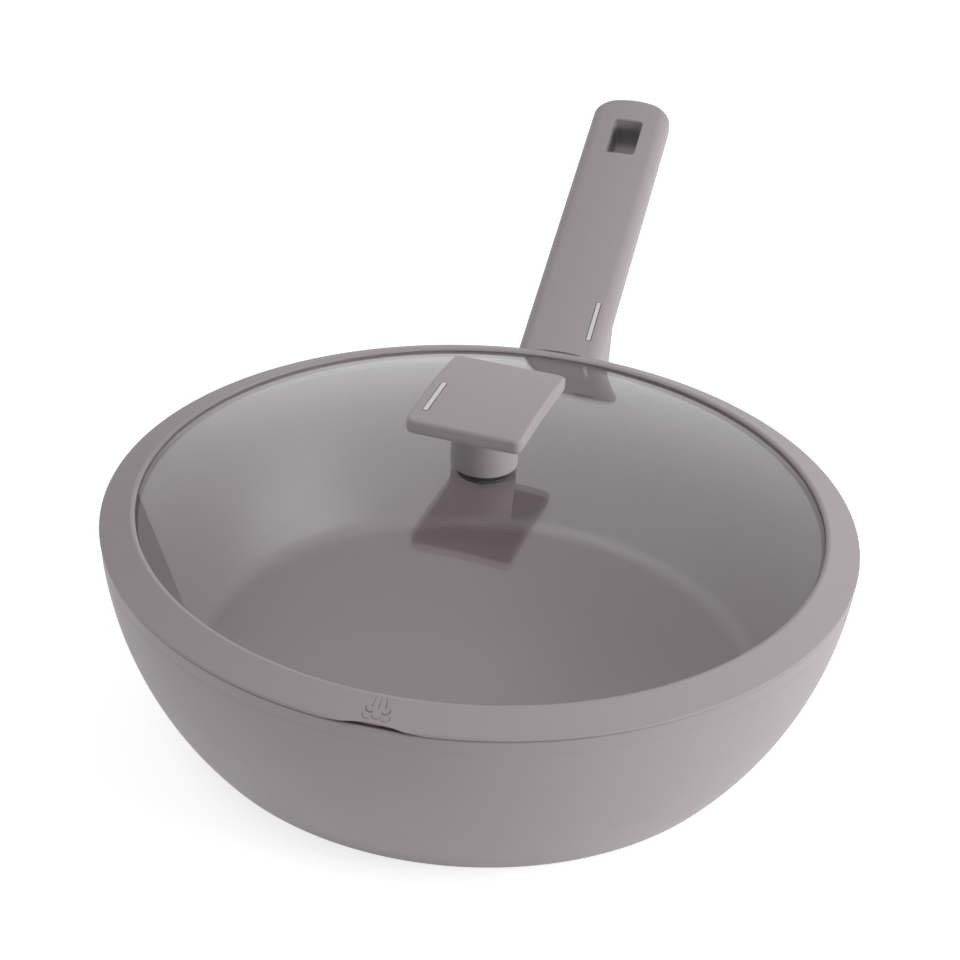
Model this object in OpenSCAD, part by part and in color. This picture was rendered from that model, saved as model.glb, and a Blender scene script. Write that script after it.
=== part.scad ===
// Forged wok with a long handle, and a glass lid in a soft rim with a flat paddle knob.
// The origin is the centre of the base, on the surface that the wok stands on.
// +Z is up, and the handle points along +X. Everything above the rim belongs to the lid.

/* [Wok] */
// Outside diameter at the rim
rim_d = 290.2; // [280:0.2:300]
// Height of the rim above the surface the wok stands on
rim_z = 78.8; // [72:0.2:84]
// Thickness of the side wall
wall_t = 3.3; // [2.6:0.1:4]
// Thickness of the floor, with its steel disc
floor_t = 6.3; // [5:0.1:7.5]
// Radius of the bow of the side wall
bow_r = 138; // [134:1:150]
// Lean of the wall at the rim, in degrees from upright
rim_lean = 3.9; // [3:0.1:5]
// Radius where the wall turns under into the base
base_round = 4; // [3:0.5:8]
// Radius where the wall meets the floor inside
floor_round = 12; // [8:0.5:16]
// Radius of the rim's edges
rim_round = 0.8; // [0.6:0.1:1.2]
// Height of the turned band below the rim
band_h = 6.3; // [4:0.1:10]
// Depth of the turned band below the wall
band_step = 0.15; // [0.1:0.05:0.4]

/* [Steel disc] */
// Width of the base that shows round the disc
disc_edge = 12; // [8:0.5:20]
// Thickness of the disc
disc_t = 0.8; // [0.5:0.1:1.2]
// Gap round the disc in its seat
disc_gap = 0.1; // [0.05:0.05:0.3]

/* [Handle] */
// Distance from the wok's axis to the tip of the handle
tip_x = 312; // [290:1:330]
// Slope of the handle, in degrees from level
grip_rise = 18; // [14:0.5:20]
// Width of the grip
grip_w = 36.2; // [32:0.2:38]
// Thickness of the grip, square to its slope
grip_t = 20.5; // [17:0.5:22]
// Radius of the long edges along the top of the grip
grip_edge = 5; // [4:0.2:5.6]
// Radius of the long edges under the grip
grip_round = 10.5; // [7:0.5:12]
// Radius of the edges under the root
root_round = 8; // [5:0.5:9]
// Radius of the edge over the end of the grip
end_edge = 3.6; // [2:0.2:5]
// Radius of the edge under the end of the grip
end_low = 4; // [3:0.5:7]
// Crown across the top of the grip
grip_crown = 1.6; // [0:0.1:2.4]
// Length over which the end of the grip curves in
end_bow = 9; // [7:0.5:14]
// Height of the top of the grip above the rim, where it leaves the wall
root_up = 1.4; // [0.8:0.1:3]
// Length of the deep root at the wall
root_l = 31; // [28:0.5:36]
// Height of the underside of the root
root_z = 44; // [42:0.5:47]
// Run of the step from the grip's underside to the root's
root_step = 8; // [6:0.5:12]
// Gap between the grip and the wok's wall
wall_gap = 0.4; // [0.3:0.1:0.8]
// Gap between the grip and the lid
lid_gap = 0.5; // [0.4:0.1:1.5]
// Length of the hanging hole, along the slope
hang_l = 24; // [18:0.5:28]
// Width of the hanging hole
hang_w = 14; // [11:0.5:17]
// Distance from the tip to the hanging hole, level
hang_inset = 16; // [12:0.5:20]
// Radius of the hanging hole's corners
hang_round = 2; // [1:0.5:4]
// Width of the broken edge round the hanging hole
hang_break = 0.6; // [0.4:0.1:1.2]
// How much each side of the hanging hole leans in towards the underside
hang_draft = 1.4; // [0.2:0.1:1.6]

/* [Handle fixing] */
// Width of the bracket's flange
flange_w = 32; // [29:0.5:34]
// Height of the bracket's flange
flange_h = 26; // [24:0.5:27]
// Thickness of the bracket's flange, measured level
flange_t = 3; // [2.5:0.1:3.5]
// Width of the bracket's tongue
tongue_w = 12; // [11:0.5:13]
// Thickness of the bracket's tongue
tongue_t = 8; // [7:0.5:9]
// Reach of the tongue past the flange
tongue_l = 20; // [18:0.5:21]
// Height of the middle of the flange and the tongue
tongue_z = 63; // [62:0.5:64]
// Radius of the weld studs
stud_r = 2; // [1.5:0.1:2.4]
// Distance of each stud from the middle
stud_y = 11; // [10.5:0.5:11.5]
// Radius of the studs' upset heads
stud_head_r = 3.6; // [3:0.1:4]
// Thickness of the studs' upset heads
stud_head_t = 1.2; // [0.8:0.1:1.5]
// Shank radius of the handle screw
screw_r = 2.5; // [2:0.1:3]
// Head radius of the handle screw
screw_head_r = 4.4; // [4:0.1:5]
// Head height of the handle screw
screw_head_h = 3.2; // [2.5:0.1:3.5]
// Thickness of the spring washer under the head
washer_t = 1.2; // [0.8:0.1:1.5]
// Distance of the screw from the inner face of the flange
screw_in = 14; // [12:0.5:15]
// Gap round the bracket, the studs and the screw's head in the grip
socket_gap = 0.3; // [0.2:0.05:0.5]

/* [Metal strips] */
// Length of the handle's strip
strip_l = 24.2; // [16:0.2:26]
// Length of the knob's strip
knob_strip_l = 21.6; // [16:0.2:24]
// Width of each strip
strip_w = 1.9; // [1.4:0.1:2.4]
// Depth of each strip's groove
strip_t = 1.2; // [0.8:0.1:1.4]
// Gap round each strip in its groove
strip_gap = 0.25; // [0.1:0.05:0.4]
// Distance from the handle's middle line to its strip
strip_side = 11.3; // [9:0.1:12]
// Distance from the rim to the handle's strip
strip_from_rim = 10; // [9:0.5:30]

/* [Lid rim] */
// How far the lid rim stands out past the wok's rim
ring_over = 0.2; // [0:0.1:1]
// Width of the lid rim's top, measured level
ring_w = 13.5; // [12:0.1:15]
// Slope of the lid rim's top, in degrees
ring_slope = 20.6; // [18:0.1:23]
// Radius of the lid rim's outer bead
bead_r = 0.7; // [0.65:0.05:1.1]
// Radius of the lid rim's inner lip
lip_r = 0.9; // [0.4:0.05:1.2]
// Depth of the lid rim inside the wok
plug_h = 5.5; // [4:0.5:8]
// Gap between the lid rim and the wok's wall inside
plug_gap = 0.5; // [0.3:0.1:1]
// How much further out the lower lip ends than the upper one
lower_back = 1.8; // [1:0.1:2.2]
// Width of each steam vent
vent_w = 32; // [24:1:36]
// Height of each steam vent
vent_h = 1.2; // [0.8:0.1:1.2]
// Gap between the lid rim and the wok's rim that it rests on
seat_gap = 0.1; // [0.05:0.05:0.3]
// Width of the gap in the plug behind each steam vent
vent_gap_w = 24; // [18:1:28]
// Turn of the lid on the wok, in degrees from the handle's line
lid_turn = -1.5; // [-20:0.5:20]
// Depth of the steam marks
mark_deep = 0.5; // [0.2:0.05:0.6]
// Width of the steam marks' lines
mark_line = 0.9; // [0.6:0.1:1.2]
// Length of a steam line
mark_l = 4.8; // [3:0.1:5]
// Radius of a wave
mark_wave_r = 1.7; // [1.2:0.1:2]

/* [Glass] */
// Thickness of the glass
glass_t = 4; // [3:0.1:4.5]
// Height of the dome above its own edge
dome_h = 21; // [15:0.2:24]
// Depth of the glass in the lid rim
glass_in = 4.6; // [3.5:0.1:5]
// Thickness of the lid rim over the glass, at the inner lip
glass_cover = 1.2; // [1:0.1:1.8]
// Gap round the glass in the lid rim
glass_gap = 0.1; // [0.05:0.05:0.3]
// Radius of the hole at the middle of the glass
glass_hole_r = 4.6; // [4:0.1:6]

/* [Knob] */
// Length of the paddle
paddle_l = 57; // [50:0.2:64]
// Width of the paddle
paddle_w = 45.2; // [40:0.2:50]
// Thickness of the paddle at its ends
paddle_t = 6.3; // [5:0.1:8]
// How much higher the paddle's middle is than its ends
paddle_arch = 1.7; // [0.5:0.1:3]
// Radius of the edges round the top of the paddle
paddle_round = 1.3; // [0.8:0.1:2]
// Radius of the edges round the paddle's underside
paddle_under_round = 2.4; // [1:0.1:3]
// Radius of the paddle's corners, seen from above
paddle_corner = 3; // [2.5:0.5:8]
// Radius of the stem
stem_r = 12.8; // [11:0.1:15]
// Length of the stem below the paddle's ends
stem_h = 21.6; // [18:0.2:26]
// Turn of the knob on the lid, in degrees
knob_turn = -4.3; // [-20:0.1:20]
// Distance from the knob strip to the paddle's left edge
knob_strip_in = 5.2; // [4:0.1:8]
// Distance from the knob strip to the paddle's front end
knob_strip_front = 7.9; // [5:0.1:10]

/* [Knob fixing] */
// Radius of the gasket between stem and glass
gasket_r = 10.7; // [9:0.1:10.9]
// Thickness of the gasket between stem and glass
gasket_t = 1.2; // [1:0.1:4]
// Radius of the gasket below the glass
under_gasket_r = 10; // [8:0.1:12]
// Thickness of the gasket below the glass
under_gasket_t = 1.2; // [0.8:0.1:2]
// Radius of the steel cup washer
cup_r = 8.6; // [7.5:0.1:9]
// Thickness of the steel cup washer
cup_t = 1; // [0.8:0.1:1.4]
// Shank radius of the knob screw
knob_screw_r = 2.5; // [2:0.1:2.8]
// Head radius of the knob screw
knob_screw_head_r = 5; // [4.5:0.1:6]
// Head height of the knob screw
knob_screw_head_h = 2.8; // [2:0.1:3.5]
// Radius of the brass insert in the stem
insert_r = 4.5; // [4:0.1:5.5]
// Length of the brass insert
insert_l = 13; // [10:0.5:16]
// Gap between threads, between gaskets and glass, and round the insert
fit_gap = 0.05; // [0.02:0.01:0.1]

/* [Hidden] */

// How far a cutter runs past the piece it cuts
over = 2;
// How closely a round shape is drawn
fine = 180;
coarse = 48;
dome_fine = 8 * fine;

taupe = "#9B9295";
lacquer = "#938A8D";
steel = "#B9B9BA";
aluminium = "#A9AAAC";
rubber = "#3A383A";
brass = "#B89A5A";

// Side wall: a bow of bow_r about the point (bow_x, bow_z)
rim_r = rim_d / 2;
bow_x = rim_r - bow_r * cos(rim_lean);
bow_z = rim_z + bow_r * sin(rim_lean);
band_z = rim_z - band_h;

// Middle of a corner circle of radius rho that touches the bow and the level z0
function corner_at(inset, z0, rho) =
    [bow_x + sqrt(pow(bow_r - inset - rho, 2) - pow(bow_z - z0 - rho, 2)), z0 + rho];
// Radius of the bowed wall at a height
function wall_r(inset, z) = bow_x + sqrt(pow(bow_r - inset, 2) - pow(bow_z - z, 2));
// Points along an arc about c, from angle a0 to angle a1
function arc(c, r, a0, a1, steps) =
    [for (i = [0:steps]) let (a = a0 + (a1 - a0) * i / steps) c + r * [cos(a), sin(a)]];
// Angle at the bow's middle of a height on the wall
function bow_angle(inset, z) = -asin((bow_z - z) / (bow_r - inset));
// Angle at the bow's middle of the corner circle k
function corner_angle(k) = atan2(k[1] - bow_z, k[0] - bow_x);

base_r = corner_at(0, 0, base_round)[0];
disc_r = base_r - disc_edge;
rim_in_r = wall_r(wall_t, rim_z);

// Lid rim and glass
ring_r = rim_r + ring_over;
ring_in_r = ring_r - ring_w;
seat_lid_z = rim_z + seat_gap;
bead_z = seat_lid_z + bead_r;
ring_in_z = bead_z + bead_r + (ring_w - bead_r) * tan(ring_slope);
plug_r = rim_in_r - plug_gap;
glass_r = ring_in_r + glass_in;
dome_r = (pow(glass_r, 2) + pow(dome_h, 2)) / (2 * dome_h);
// Height of the middle of the dome's sphere, from the lid rim's inner lip
dome_z = ring_in_z - glass_cover - sqrt(pow(dome_r, 2) - pow(ring_in_r, 2));
apex_z = dome_z + dome_r;
under_z = apex_z - glass_t;

// Knob stack, from the glass up and down
stem_z = apex_z + gasket_t;
paddle_z = stem_z + stem_h;
cup_z = under_z - under_gasket_t - cup_t;
insert_top = stem_z + insert_l;

// Upright thickness of the sloping grip, and where its underside starts to turn down
grip_v = grip_t / cos(grip_rise);
knee_x = rim_r + root_l + grip_t * tan(grip_rise) / 2;
// How square the grip's end is seen from above, 2 being an ellipse
end_power = 2.1;
// Largest share of a half width that the radius of an edge takes
edge_share = 0.98;

// Fixing of the handle, its strip and its hanging hole
flange_x = wall_r(0, tongue_z) + flange_t;
screw_x = flange_x - flange_t + screw_in;
seat_z = tongue_z - tongue_t / 2 - socket_gap - washer_t;
strip_x = rim_r + strip_from_rim + strip_l * cos(grip_rise) / 2;
strip_round = strip_w / 5;
hang_x = tip_x - hang_inset - hang_l * cos(grip_rise) / 2;

// Corner q of a rectangle 2a by 2b, rounded by r, the corners being counted from the top right one
corner_steps = 6;
function corner(q, a, b, r) = [for (i = [0:corner_steps]) let (t = 90 * (q + i / corner_steps))
    [(q == 0 || q == 3 ? a - r : r - a) + r * cos(t), (q < 2 ? b - r : r - b) + r * sin(t)]];
// Closed outline of that rectangle, its corners rounded by r above and by low below, with steps on its top
top_steps = 8;
function rounded(a, b, r, low) = concat(
    corner(0, a, b, r), [for (i = [1:top_steps - 1]) [(a - r) * (1 - 2 * i / top_steps), b]],
    corner(1, a, b, r), corner(2, a, b, low), corner(3, a, b, low));
ring_count = 4 * (corner_steps + 1) + top_steps - 1;

// Solid through a row of rings of points, each with ring_count points
module loft(rings) {
    last = len(rings) - 1;
    polyhedron(
        points = [for (ring = rings) each ring],
        faces = concat(
            [[for (i = [0:ring_count - 1]) i]],
            [[for (i = [0:ring_count - 1]) (last + 1) * ring_count - 1 - i]],
            [for (k = [0:last - 1]) for (i = [0:ring_count - 1])
                let (j = (i + 1) % ring_count, a = k * ring_count, b = a + ring_count)
                each [[a + i, b + i, b + j], [a + i, b + j, a + j]]]));
}

// Share of a full size that a round end of length l leaves at a distance e from the tip
function end_share(e, l, power) = e >= l ? 1 : pow(1 - pow(1 - e / l, power), 1 / power);

// Smooth step from 0 to 1
function smooth(t) = let (u = min(max(t, 0), 1)) u * u * (3 - 2 * u);

bow_steps = 24;
turn_steps = 8;
// Outline of a bowed wall from the axis out and up to the height top, standing on the level z0
function bowl_line(inset, z0, rho, top) =
    let (k = corner_at(inset, z0, rho), turn = corner_angle(k))
    concat([[0, z0]], arc(k, rho, -90, turn, turn_steps),
        [for (p = arc([bow_x, bow_z], bow_r - inset, turn, bow_angle(inset, top), bow_steps))
            if (p[1] > k[1] + rho * sin(turn)) p]);

function reversed(list) = [for (i = [len(list) - 1:-1:0]) list[i]];

module wok_body() color(lacquer) {
    round_z = rim_z - rim_round;
    band_low = bow_angle(band_step, band_z);
    band_top = bow_angle(band_step, round_z);
    rim_out = [wall_r(band_step + rim_round, round_z), round_z];
    rim_in = [wall_r(wall_t - rim_round, round_z), round_z];
    difference() {
        rotate_extrude($fn = fine) polygon(concat(
            bowl_line(0, 0, base_round, band_z),
            arc([bow_x, bow_z], bow_r - band_step, band_low, band_top, 2),
            arc(rim_out, rim_round, 0, 90, turn_steps),
            arc(rim_in, rim_round, 90, 180, turn_steps),
            reversed(bowl_line(wall_t, floor_t, floor_round, round_z - band_step))));
        translate([0, 0, -over]) cylinder(r = disc_r + disc_gap, h = disc_t + disc_gap + over, $fn = fine);
    }
}

module induction_disc() color(steel) cylinder(r = disc_r, h = disc_t, $fn = fine);

// The wok as a filled solid, grown by a gap, which the handle's pieces are cut back to
module wok_space(gap) {
    rotate_extrude($fn = fine) polygon(concat(
        bowl_line(-gap, -gap, base_round, rim_z), [[0, rim_z]]));
}

// Flange shape of the bracket, grown by a gap
module flange_block(gap) {
    translate([bow_x, -flange_w / 2 - gap, tongue_z - flange_h / 2 - gap])
        cube([flange_x - bow_x + gap, flange_w + 2 * gap, flange_h + 2 * gap]);
}

// Tongue of the bracket, grown by a gap
module tongue_block(gap) {
    translate([bow_x, -tongue_w / 2 - gap, tongue_z - tongue_t / 2 - gap])
        cube([flange_x + tongue_l - bow_x + gap, tongue_w + 2 * gap, tongue_t + 2 * gap]);
}

module handle_bracket() color(aluminium) {
    difference() {
        union() {
            flange_block(0);
            tongue_block(0);
        }
        wok_space(fit_gap);
        for (side = [-1, 1]) translate([bow_x, side * stud_y, tongue_z]) rotate([0, 90, 0])
            cylinder(r = stud_r + fit_gap, h = flange_x - bow_x + over, $fn = coarse);
        translate([screw_x, 0, tongue_z - tongue_t / 2 - over])
            cylinder(r = screw_r + fit_gap, h = tongue_t + 2 * over, $fn = coarse);
    }
}

module weld_studs() color(aluminium) {
    difference() {
        for (side = [-1, 1]) translate([bow_x, side * stud_y, tongue_z]) rotate([0, 90, 0]) {
            cylinder(r = stud_r, h = flange_x - bow_x, $fn = coarse);
            translate([0, 0, flange_x - bow_x]) cylinder(r = stud_head_r, h = stud_head_t, $fn = coarse);
        }
        wok_space(fit_gap);
    }
}

// Top and underside of the grip at a distance x from the axis
function grip_top(x) = rim_z + root_up + (x - rim_r) * tan(grip_rise);
function grip_under(x) =
    let (line = grip_top(x) - grip_v, step = smooth((knee_x - x) / root_step))
    line + (root_z - line) * step;

// One section of the grip: upright at the root, and from there on turned square to the slope
function grip_ring(x) =
    let (e = tip_x - x, a = grip_w / 2 * end_share(e, end_bow, end_power), from_end = smooth(e / end_bow),
         long_r = grip_round + (root_round - grip_round) * smooth((knee_x - x) / root_step),
         top_r = end_edge + (grip_edge - end_edge) * from_end,
         low_r = end_low + (long_r - end_low) * from_end,
         top = grip_top(x) - end_edge * (1 - end_share(e, end_edge, 2)),
         under = grip_under(x) + end_low * (1 - end_share(e, end_low, 2)),
         b = (top - under) / 2, most = edge_share * min(a, b),
         square = sin(grip_rise) * cos(grip_rise) * smooth((x - knee_x) / root_l))
    [for (p = rounded(a, b, min(top_r, most), min(low_r, most)))
        let (z = (top + under) / 2 + p[1] - (p[1] > 0 ? grip_crown * pow(p[0] / a, 2) : 0),
             shift = (grip_top(x) - z) * square)
        [x + shift, p[0], z + shift * tan(grip_rise)]];

// Where the grip is cut into sections: at its inner end, over the step and at its tip
root_steps = 10;
end_steps = 12;
grip_in = wall_r(0, root_z) - wall_t - over;
grip_stations = concat(
    [grip_in, knee_x - root_step - over],
    [for (i = [0:root_steps]) knee_x - root_step * (1 - i / root_steps)],
    [for (i = [0:end_steps - 1]) tip_x - end_bow * pow(1 - i / end_steps, 2)],
    [tip_x - end_bow / pow(2 * end_steps, 2)]);

// Turns and lifts a shape from the XY plane onto the slope of the grip's top at a distance x
module on_grip(x, y) {
    drop = grip_crown * pow(2 * y / grip_w, 2);
    translate([x, y, grip_top(x) - drop]) rotate([0, -grip_rise, 0]) children();
}

// Upright block with rounded corners, centred on the origin
module rounded_block(l, w, r, h) {
    linear_extrude(h, center = true) difference() {
        square([l, w], center = true);
        for (sx = [-1, 1], sy = [-1, 1]) translate([sx * l / 2, sy * w / 2]) difference() {
            square(2 * r, center = true);
            translate([-sx * r, -sy * r]) circle(r, $fn = coarse);
        }
    }
}

// Hanging hole, a little smaller at the underside of the grip than at its top
module hang_hole() {
    lean = 2 * hang_draft;
    hull() {
        translate([0, 0, over / 2]) rounded_block(hang_l, hang_w, hang_round, over);
        translate([0, 0, -grip_t - over / 2]) rounded_block(hang_l - lean, hang_w - lean, hang_round, over);
    }
}

// Bevelled mouth of the hanging hole, on one face of the grip, smaller by less than the full size
module hang_mouth(less) {
    wide = 2 * hang_break;
    hull() {
        rounded_block(hang_l - less, hang_w - less, hang_round, wide);
        translate([0, 0, hang_break])
            rounded_block(hang_l - less + wide, hang_w - less + wide, hang_round + hang_break, hang_break);
    }
}

module handle_grip() color(taupe) {
    pocket_x = flange_x + stud_head_t + socket_gap;
    difference() {
        loft([for (x = grip_stations) grip_ring(x)]);
        wok_space(wall_gap);
        // Room for the rim of the lid
        translate([0, 0, rim_z - lid_gap])
            cylinder(r = ring_r + lid_gap, h = root_up + lid_gap + grip_t, $fn = fine);
        flange_block(socket_gap);
        tongue_block(socket_gap);
        // Pockets over the studs' heads
        for (side = [-1, 1]) translate([bow_x, side * stud_y, tongue_z]) rotate([0, 90, 0])
            cylinder(r = stud_head_r + socket_gap, h = pocket_x - bow_x, $fn = coarse);
        // Screw hole from below, wide for the head and narrow above its seat
        translate([screw_x, 0, root_z - over])
            cylinder(r = screw_head_r + socket_gap, h = seat_z - root_z + washer_t + over, $fn = coarse);
        on_grip(hang_x, 0) hang_hole();
        on_grip(hang_x, 0) hang_mouth(0);
        on_grip(hang_x, 0) translate([0, 0, -grip_t]) mirror([0, 0, 1]) hang_mouth(2 * hang_draft);
        on_grip(strip_x, -strip_side)
            cube([strip_l + 2 * strip_gap, strip_w + 2 * strip_gap, 2 * strip_t], center = true);
    }
}

module handle_screw() color(steel) {
    difference() {
        union() {
            translate([screw_x, 0, seat_z - screw_head_h])
                cylinder(r = screw_head_r, h = screw_head_h, $fn = coarse);
            translate([screw_x, 0, seat_z - fit_gap])
                cylinder(r = screw_r, h = tongue_z + tongue_t / 2 - seat_z, $fn = coarse);
        }
        // Cross recess
        for (turn = [0, 90]) translate([screw_x, 0, seat_z - screw_head_h]) rotate([0, 0, turn])
            cube([screw_head_r, screw_r / 2, screw_head_h], center = true);
    }
}

module handle_washer() color(steel) {
    translate([screw_x, 0, seat_z]) difference() {
        cylinder(r = screw_head_r - fit_gap, h = washer_t, $fn = coarse);
        translate([0, 0, -over]) cylinder(r = screw_r + fit_gap, h = washer_t + 2 * over, $fn = coarse);
        translate([screw_r, -socket_gap / 2, -over]) cube([screw_head_r, socket_gap, washer_t + 2 * over]);
    }
}

module handle_strip() color(steel) {
    on_grip(strip_x, -strip_side) translate([0, 0, strip_gap / 2 - strip_t / 2])
        rounded_block(strip_l, strip_w, strip_round, strip_t);
}

// Section of the dome, grown by a gap, out to a radius
module dome_section(gap, out_r) {
    intersection() {
        translate([0, dome_z]) difference() {
            circle(dome_r + gap, $fn = dome_fine);
            circle(dome_r - glass_t - gap, $fn = dome_fine);
        }
        translate([0, rim_z - plug_h]) square([out_r, dome_h + ring_w + plug_h]);
    }
}

module ring_section() {
    plug_z = rim_z - plug_h;
    lower_r = ring_in_r + lower_back;
    chamfer = plug_h / 5;
    difference() {
        union() {
            polygon([
                [ring_r - bead_r, seat_lid_z],
                [ring_r - bead_r * (1 - sin(ring_slope)), bead_z + bead_r * cos(ring_slope)],
                [ring_in_r + lip_r, ring_in_z],
                [ring_in_r + lip_r, ring_in_z - lip_r * 2],
                [ring_in_r + lip_r, ring_in_z - glass_cover - glass_t / 2],
                [lower_r, ring_in_z - glass_cover - glass_t / 2],
                [lower_r, rim_z - plug_h / 2],
                [lower_r + 2 * chamfer, plug_z],
                [plug_r - chamfer, plug_z],
                [plug_r, plug_z + chamfer],
                [plug_r, seat_lid_z]]);
            translate([ring_r - bead_r, bead_z]) circle(bead_r, $fn = coarse);
            translate([ring_in_r + lip_r, ring_in_z - lip_r]) circle(lip_r, $fn = coarse);
        }
        dome_section(glass_gap, glass_r + glass_gap);
    }
}

// One wave of the steam mark, a little less than half a ring
wave_top_share = 0.42;
module mark_wave() {
    difference() {
        circle(mark_wave_r + mark_line / 2, $fn = coarse);
        circle(mark_wave_r - mark_line / 2, $fn = coarse);
        translate([-2 * mark_wave_r, -mark_wave_r * wave_top_share]) square(4 * mark_wave_r);
    }
}

// Plain steam mark: three lines rising over two rows of waves, up being +Y
module steam_mark() {
    fan = 9;
    wave_fan = 32;
    // How much wider the lower row of waves is spread
    spread_share = 0.2;
    line_pitch = 1.3 * mark_wave_r;
    wave_pitch = 1.55 * mark_wave_r;
    row_pitch = 3.2 * mark_line;
    // The outer lines stand higher than the middle one, and the middle wave higher than the outer ones
    for (i = [-1:1]) translate([i * line_pitch, (mark_l + abs(i) * mark_line) / 2]) rotate(fan * i) {
        square([mark_line, mark_l - mark_line], center = true);
        for (end = [-1, 1]) translate([0, end * (mark_l - mark_line) / 2])
            circle(mark_line / 2, $fn = coarse);
    }
    for (row = [0, 1], i = [-1:1]) if (row == 1 || i != 0)
        translate([i * wave_pitch * (1 + row * spread_share),
                   (1 - abs(i)) * mark_line / 2 - row * row_pitch])
            rotate(wave_fan * i) mark_wave();
}

module lid_ring() color(taupe) rotate([0, 0, lid_turn]) {
    mid_r = ring_r - ring_w / 2;
    mid_z = ring_in_z - (ring_w / 2 - lip_r) * tan(ring_slope);
    vent_r = (pow(vent_w / 2, 2) + pow(vent_h, 2)) / (2 * vent_h);
    difference() {
        rotate_extrude($fn = fine) ring_section();
        for (turn = [0, 180]) rotate([0, 0, turn]) {
            // Steam vent: a shallow arch under the outer edge
            translate([ring_in_r, 0, seat_lid_z + vent_h - vent_r]) rotate([0, 90, 0])
                cylinder(r = vent_r, h = ring_w + over, $fn = 4 * fine);
            // Gap in the plug behind it
            translate([glass_r + glass_gap, -vent_gap_w / 2, rim_z - plug_h - over])
                cube([ring_w, vent_gap_w, plug_h + over]);
            // Steam mark on the slope above it
            translate([mid_r, 0, mid_z]) rotate([0, ring_slope, 0]) rotate([0, 0, 90])
                linear_extrude(2 * mark_deep, center = true) steam_mark();
        }
    }
}

module lid_glass() color("#DDE3E2", 0.35) {
    rotate_extrude($fn = fine) difference() {
        dome_section(0, glass_r);
        translate([0, under_z - over]) square([glass_hole_r, glass_t + 2 * over]);
    }
}

// Rise of the arched paddle over its ends, and the share of it that the underside follows
function paddle_lift(x) = paddle_arch * (1 - pow(2 * x / paddle_l, 2));
under_arch_share = 0.5;
// One section of the paddle, square to its length
function paddle_ring(x) =
    let (e = paddle_l / 2 - abs(x), low_r = paddle_under_round,
         a = paddle_w / 2 - paddle_corner * (1 - end_share(e, paddle_corner, 2)),
         top = paddle_t + paddle_lift(x) - paddle_round * (1 - end_share(e, paddle_round, 2)),
         under = paddle_lift(x) * under_arch_share + low_r * (1 - end_share(e, low_r, 2)),
         b = (top - under) / 2, most = edge_share * b)
    [for (p = rounded(a, b, min(paddle_round, most), min(low_r, most)))
        [x, p[0], (top + under) / 2 + p[1]]];

// Where the paddle is cut into sections, from its middle to one end and then both ways
arch_steps = 8;
paddle_half = concat(
    [for (i = [0:arch_steps - 1]) (paddle_l / 2 - paddle_corner) * i / arch_steps],
    [for (i = [0:end_steps - 1]) paddle_l / 2 - paddle_corner * pow(1 - i / end_steps, 2)],
    [paddle_l / 2]);
paddle_stations = concat(
    [for (i = [len(paddle_half) - 1:-1:1]) -paddle_half[i]], paddle_half);

// Middle of the knob's strip
strip_mid_x = knob_strip_front + knob_strip_l / 2 - paddle_l / 2;
strip_mid_y = paddle_w / 2 - knob_strip_in;
// The knob strip is straight, so it sits deeper by half the rise of the arch along it
strip_sink = paddle_arch * pow(knob_strip_l / paddle_l, 2) / 2;
// Slope of the arched top at the strip
strip_lean = atan(8 * paddle_arch * strip_mid_x / pow(paddle_l, 2));

module on_paddle() {
    translate([strip_mid_x, strip_mid_y, paddle_z + paddle_t + paddle_lift(strip_mid_x)])
        rotate([0, strip_lean, 0]) children();
}

module knob_grip() color(taupe) rotate([0, 0, lid_turn + knob_turn]) {
    difference() {
        union() {
            translate([0, 0, paddle_z]) loft([for (x = paddle_stations) paddle_ring(x)]);
            translate([0, 0, stem_z]) cylinder(r = stem_r, h = stem_h + paddle_t / 2, $fn = fine / 2);
        }
        translate([0, 0, stem_z - over]) cylinder(r = insert_r + fit_gap, h = insert_l + over, $fn = coarse);
        on_paddle() cube([knob_strip_l + 2 * strip_gap, strip_w + 2 * strip_gap,
                          2 * (strip_t + strip_sink)], center = true);
    }
}

module knob_insert() color(brass) {
    translate([0, 0, stem_z]) difference() {
        cylinder(r = insert_r, h = insert_l, $fn = coarse);
        translate([0, 0, -over])
            cylinder(r = knob_screw_r + fit_gap, h = insert_l + 2 * over, $fn = coarse);
    }
}

module knob_strip() color(steel) rotate([0, 0, lid_turn + knob_turn])
    on_paddle() translate([0, 0, strip_gap / 2 - strip_sink - strip_t / 2])
        rounded_block(knob_strip_l, strip_w, strip_round, strip_t);

module knob_gasket() color(rubber) {
    bore = knob_screw_r + fit_gap;
    neck = glass_hole_r - fit_gap;
    // The underside follows the dome, from the neck in the glass out to the edge
    seat = dome_r + fit_gap;
    rotate_extrude($fn = fine) polygon(concat(
        [[bore, stem_z], [bore, apex_z - glass_t / 2], [neck, apex_z - glass_t / 2]],
        arc([0, dome_z], seat, acos(neck / seat), acos(gasket_r / seat), turn_steps),
        [[gasket_r, stem_z]]));
}

module under_gasket() color(rubber) {
    // The glass curves down a little towards the gasket's edge
    top_z = dome_z + sqrt(pow(dome_r - glass_t, 2) - pow(under_gasket_r, 2)) - fit_gap;
    translate([0, 0, cup_z + cup_t]) difference() {
        cylinder(r = under_gasket_r, h = top_z - cup_z - cup_t, $fn = fine / 2);
        translate([0, 0, -over])
            cylinder(r = knob_screw_r + fit_gap, h = under_gasket_t + 2 * over, $fn = coarse);
    }
}

module cup_washer() color(steel) {
    translate([0, 0, cup_z]) difference() {
        cylinder(r = cup_r, h = cup_t, $fn = fine / 2);
        translate([0, 0, -over]) cylinder(r = knob_screw_r + fit_gap, h = cup_t + 2 * over, $fn = coarse);
    }
}

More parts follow.
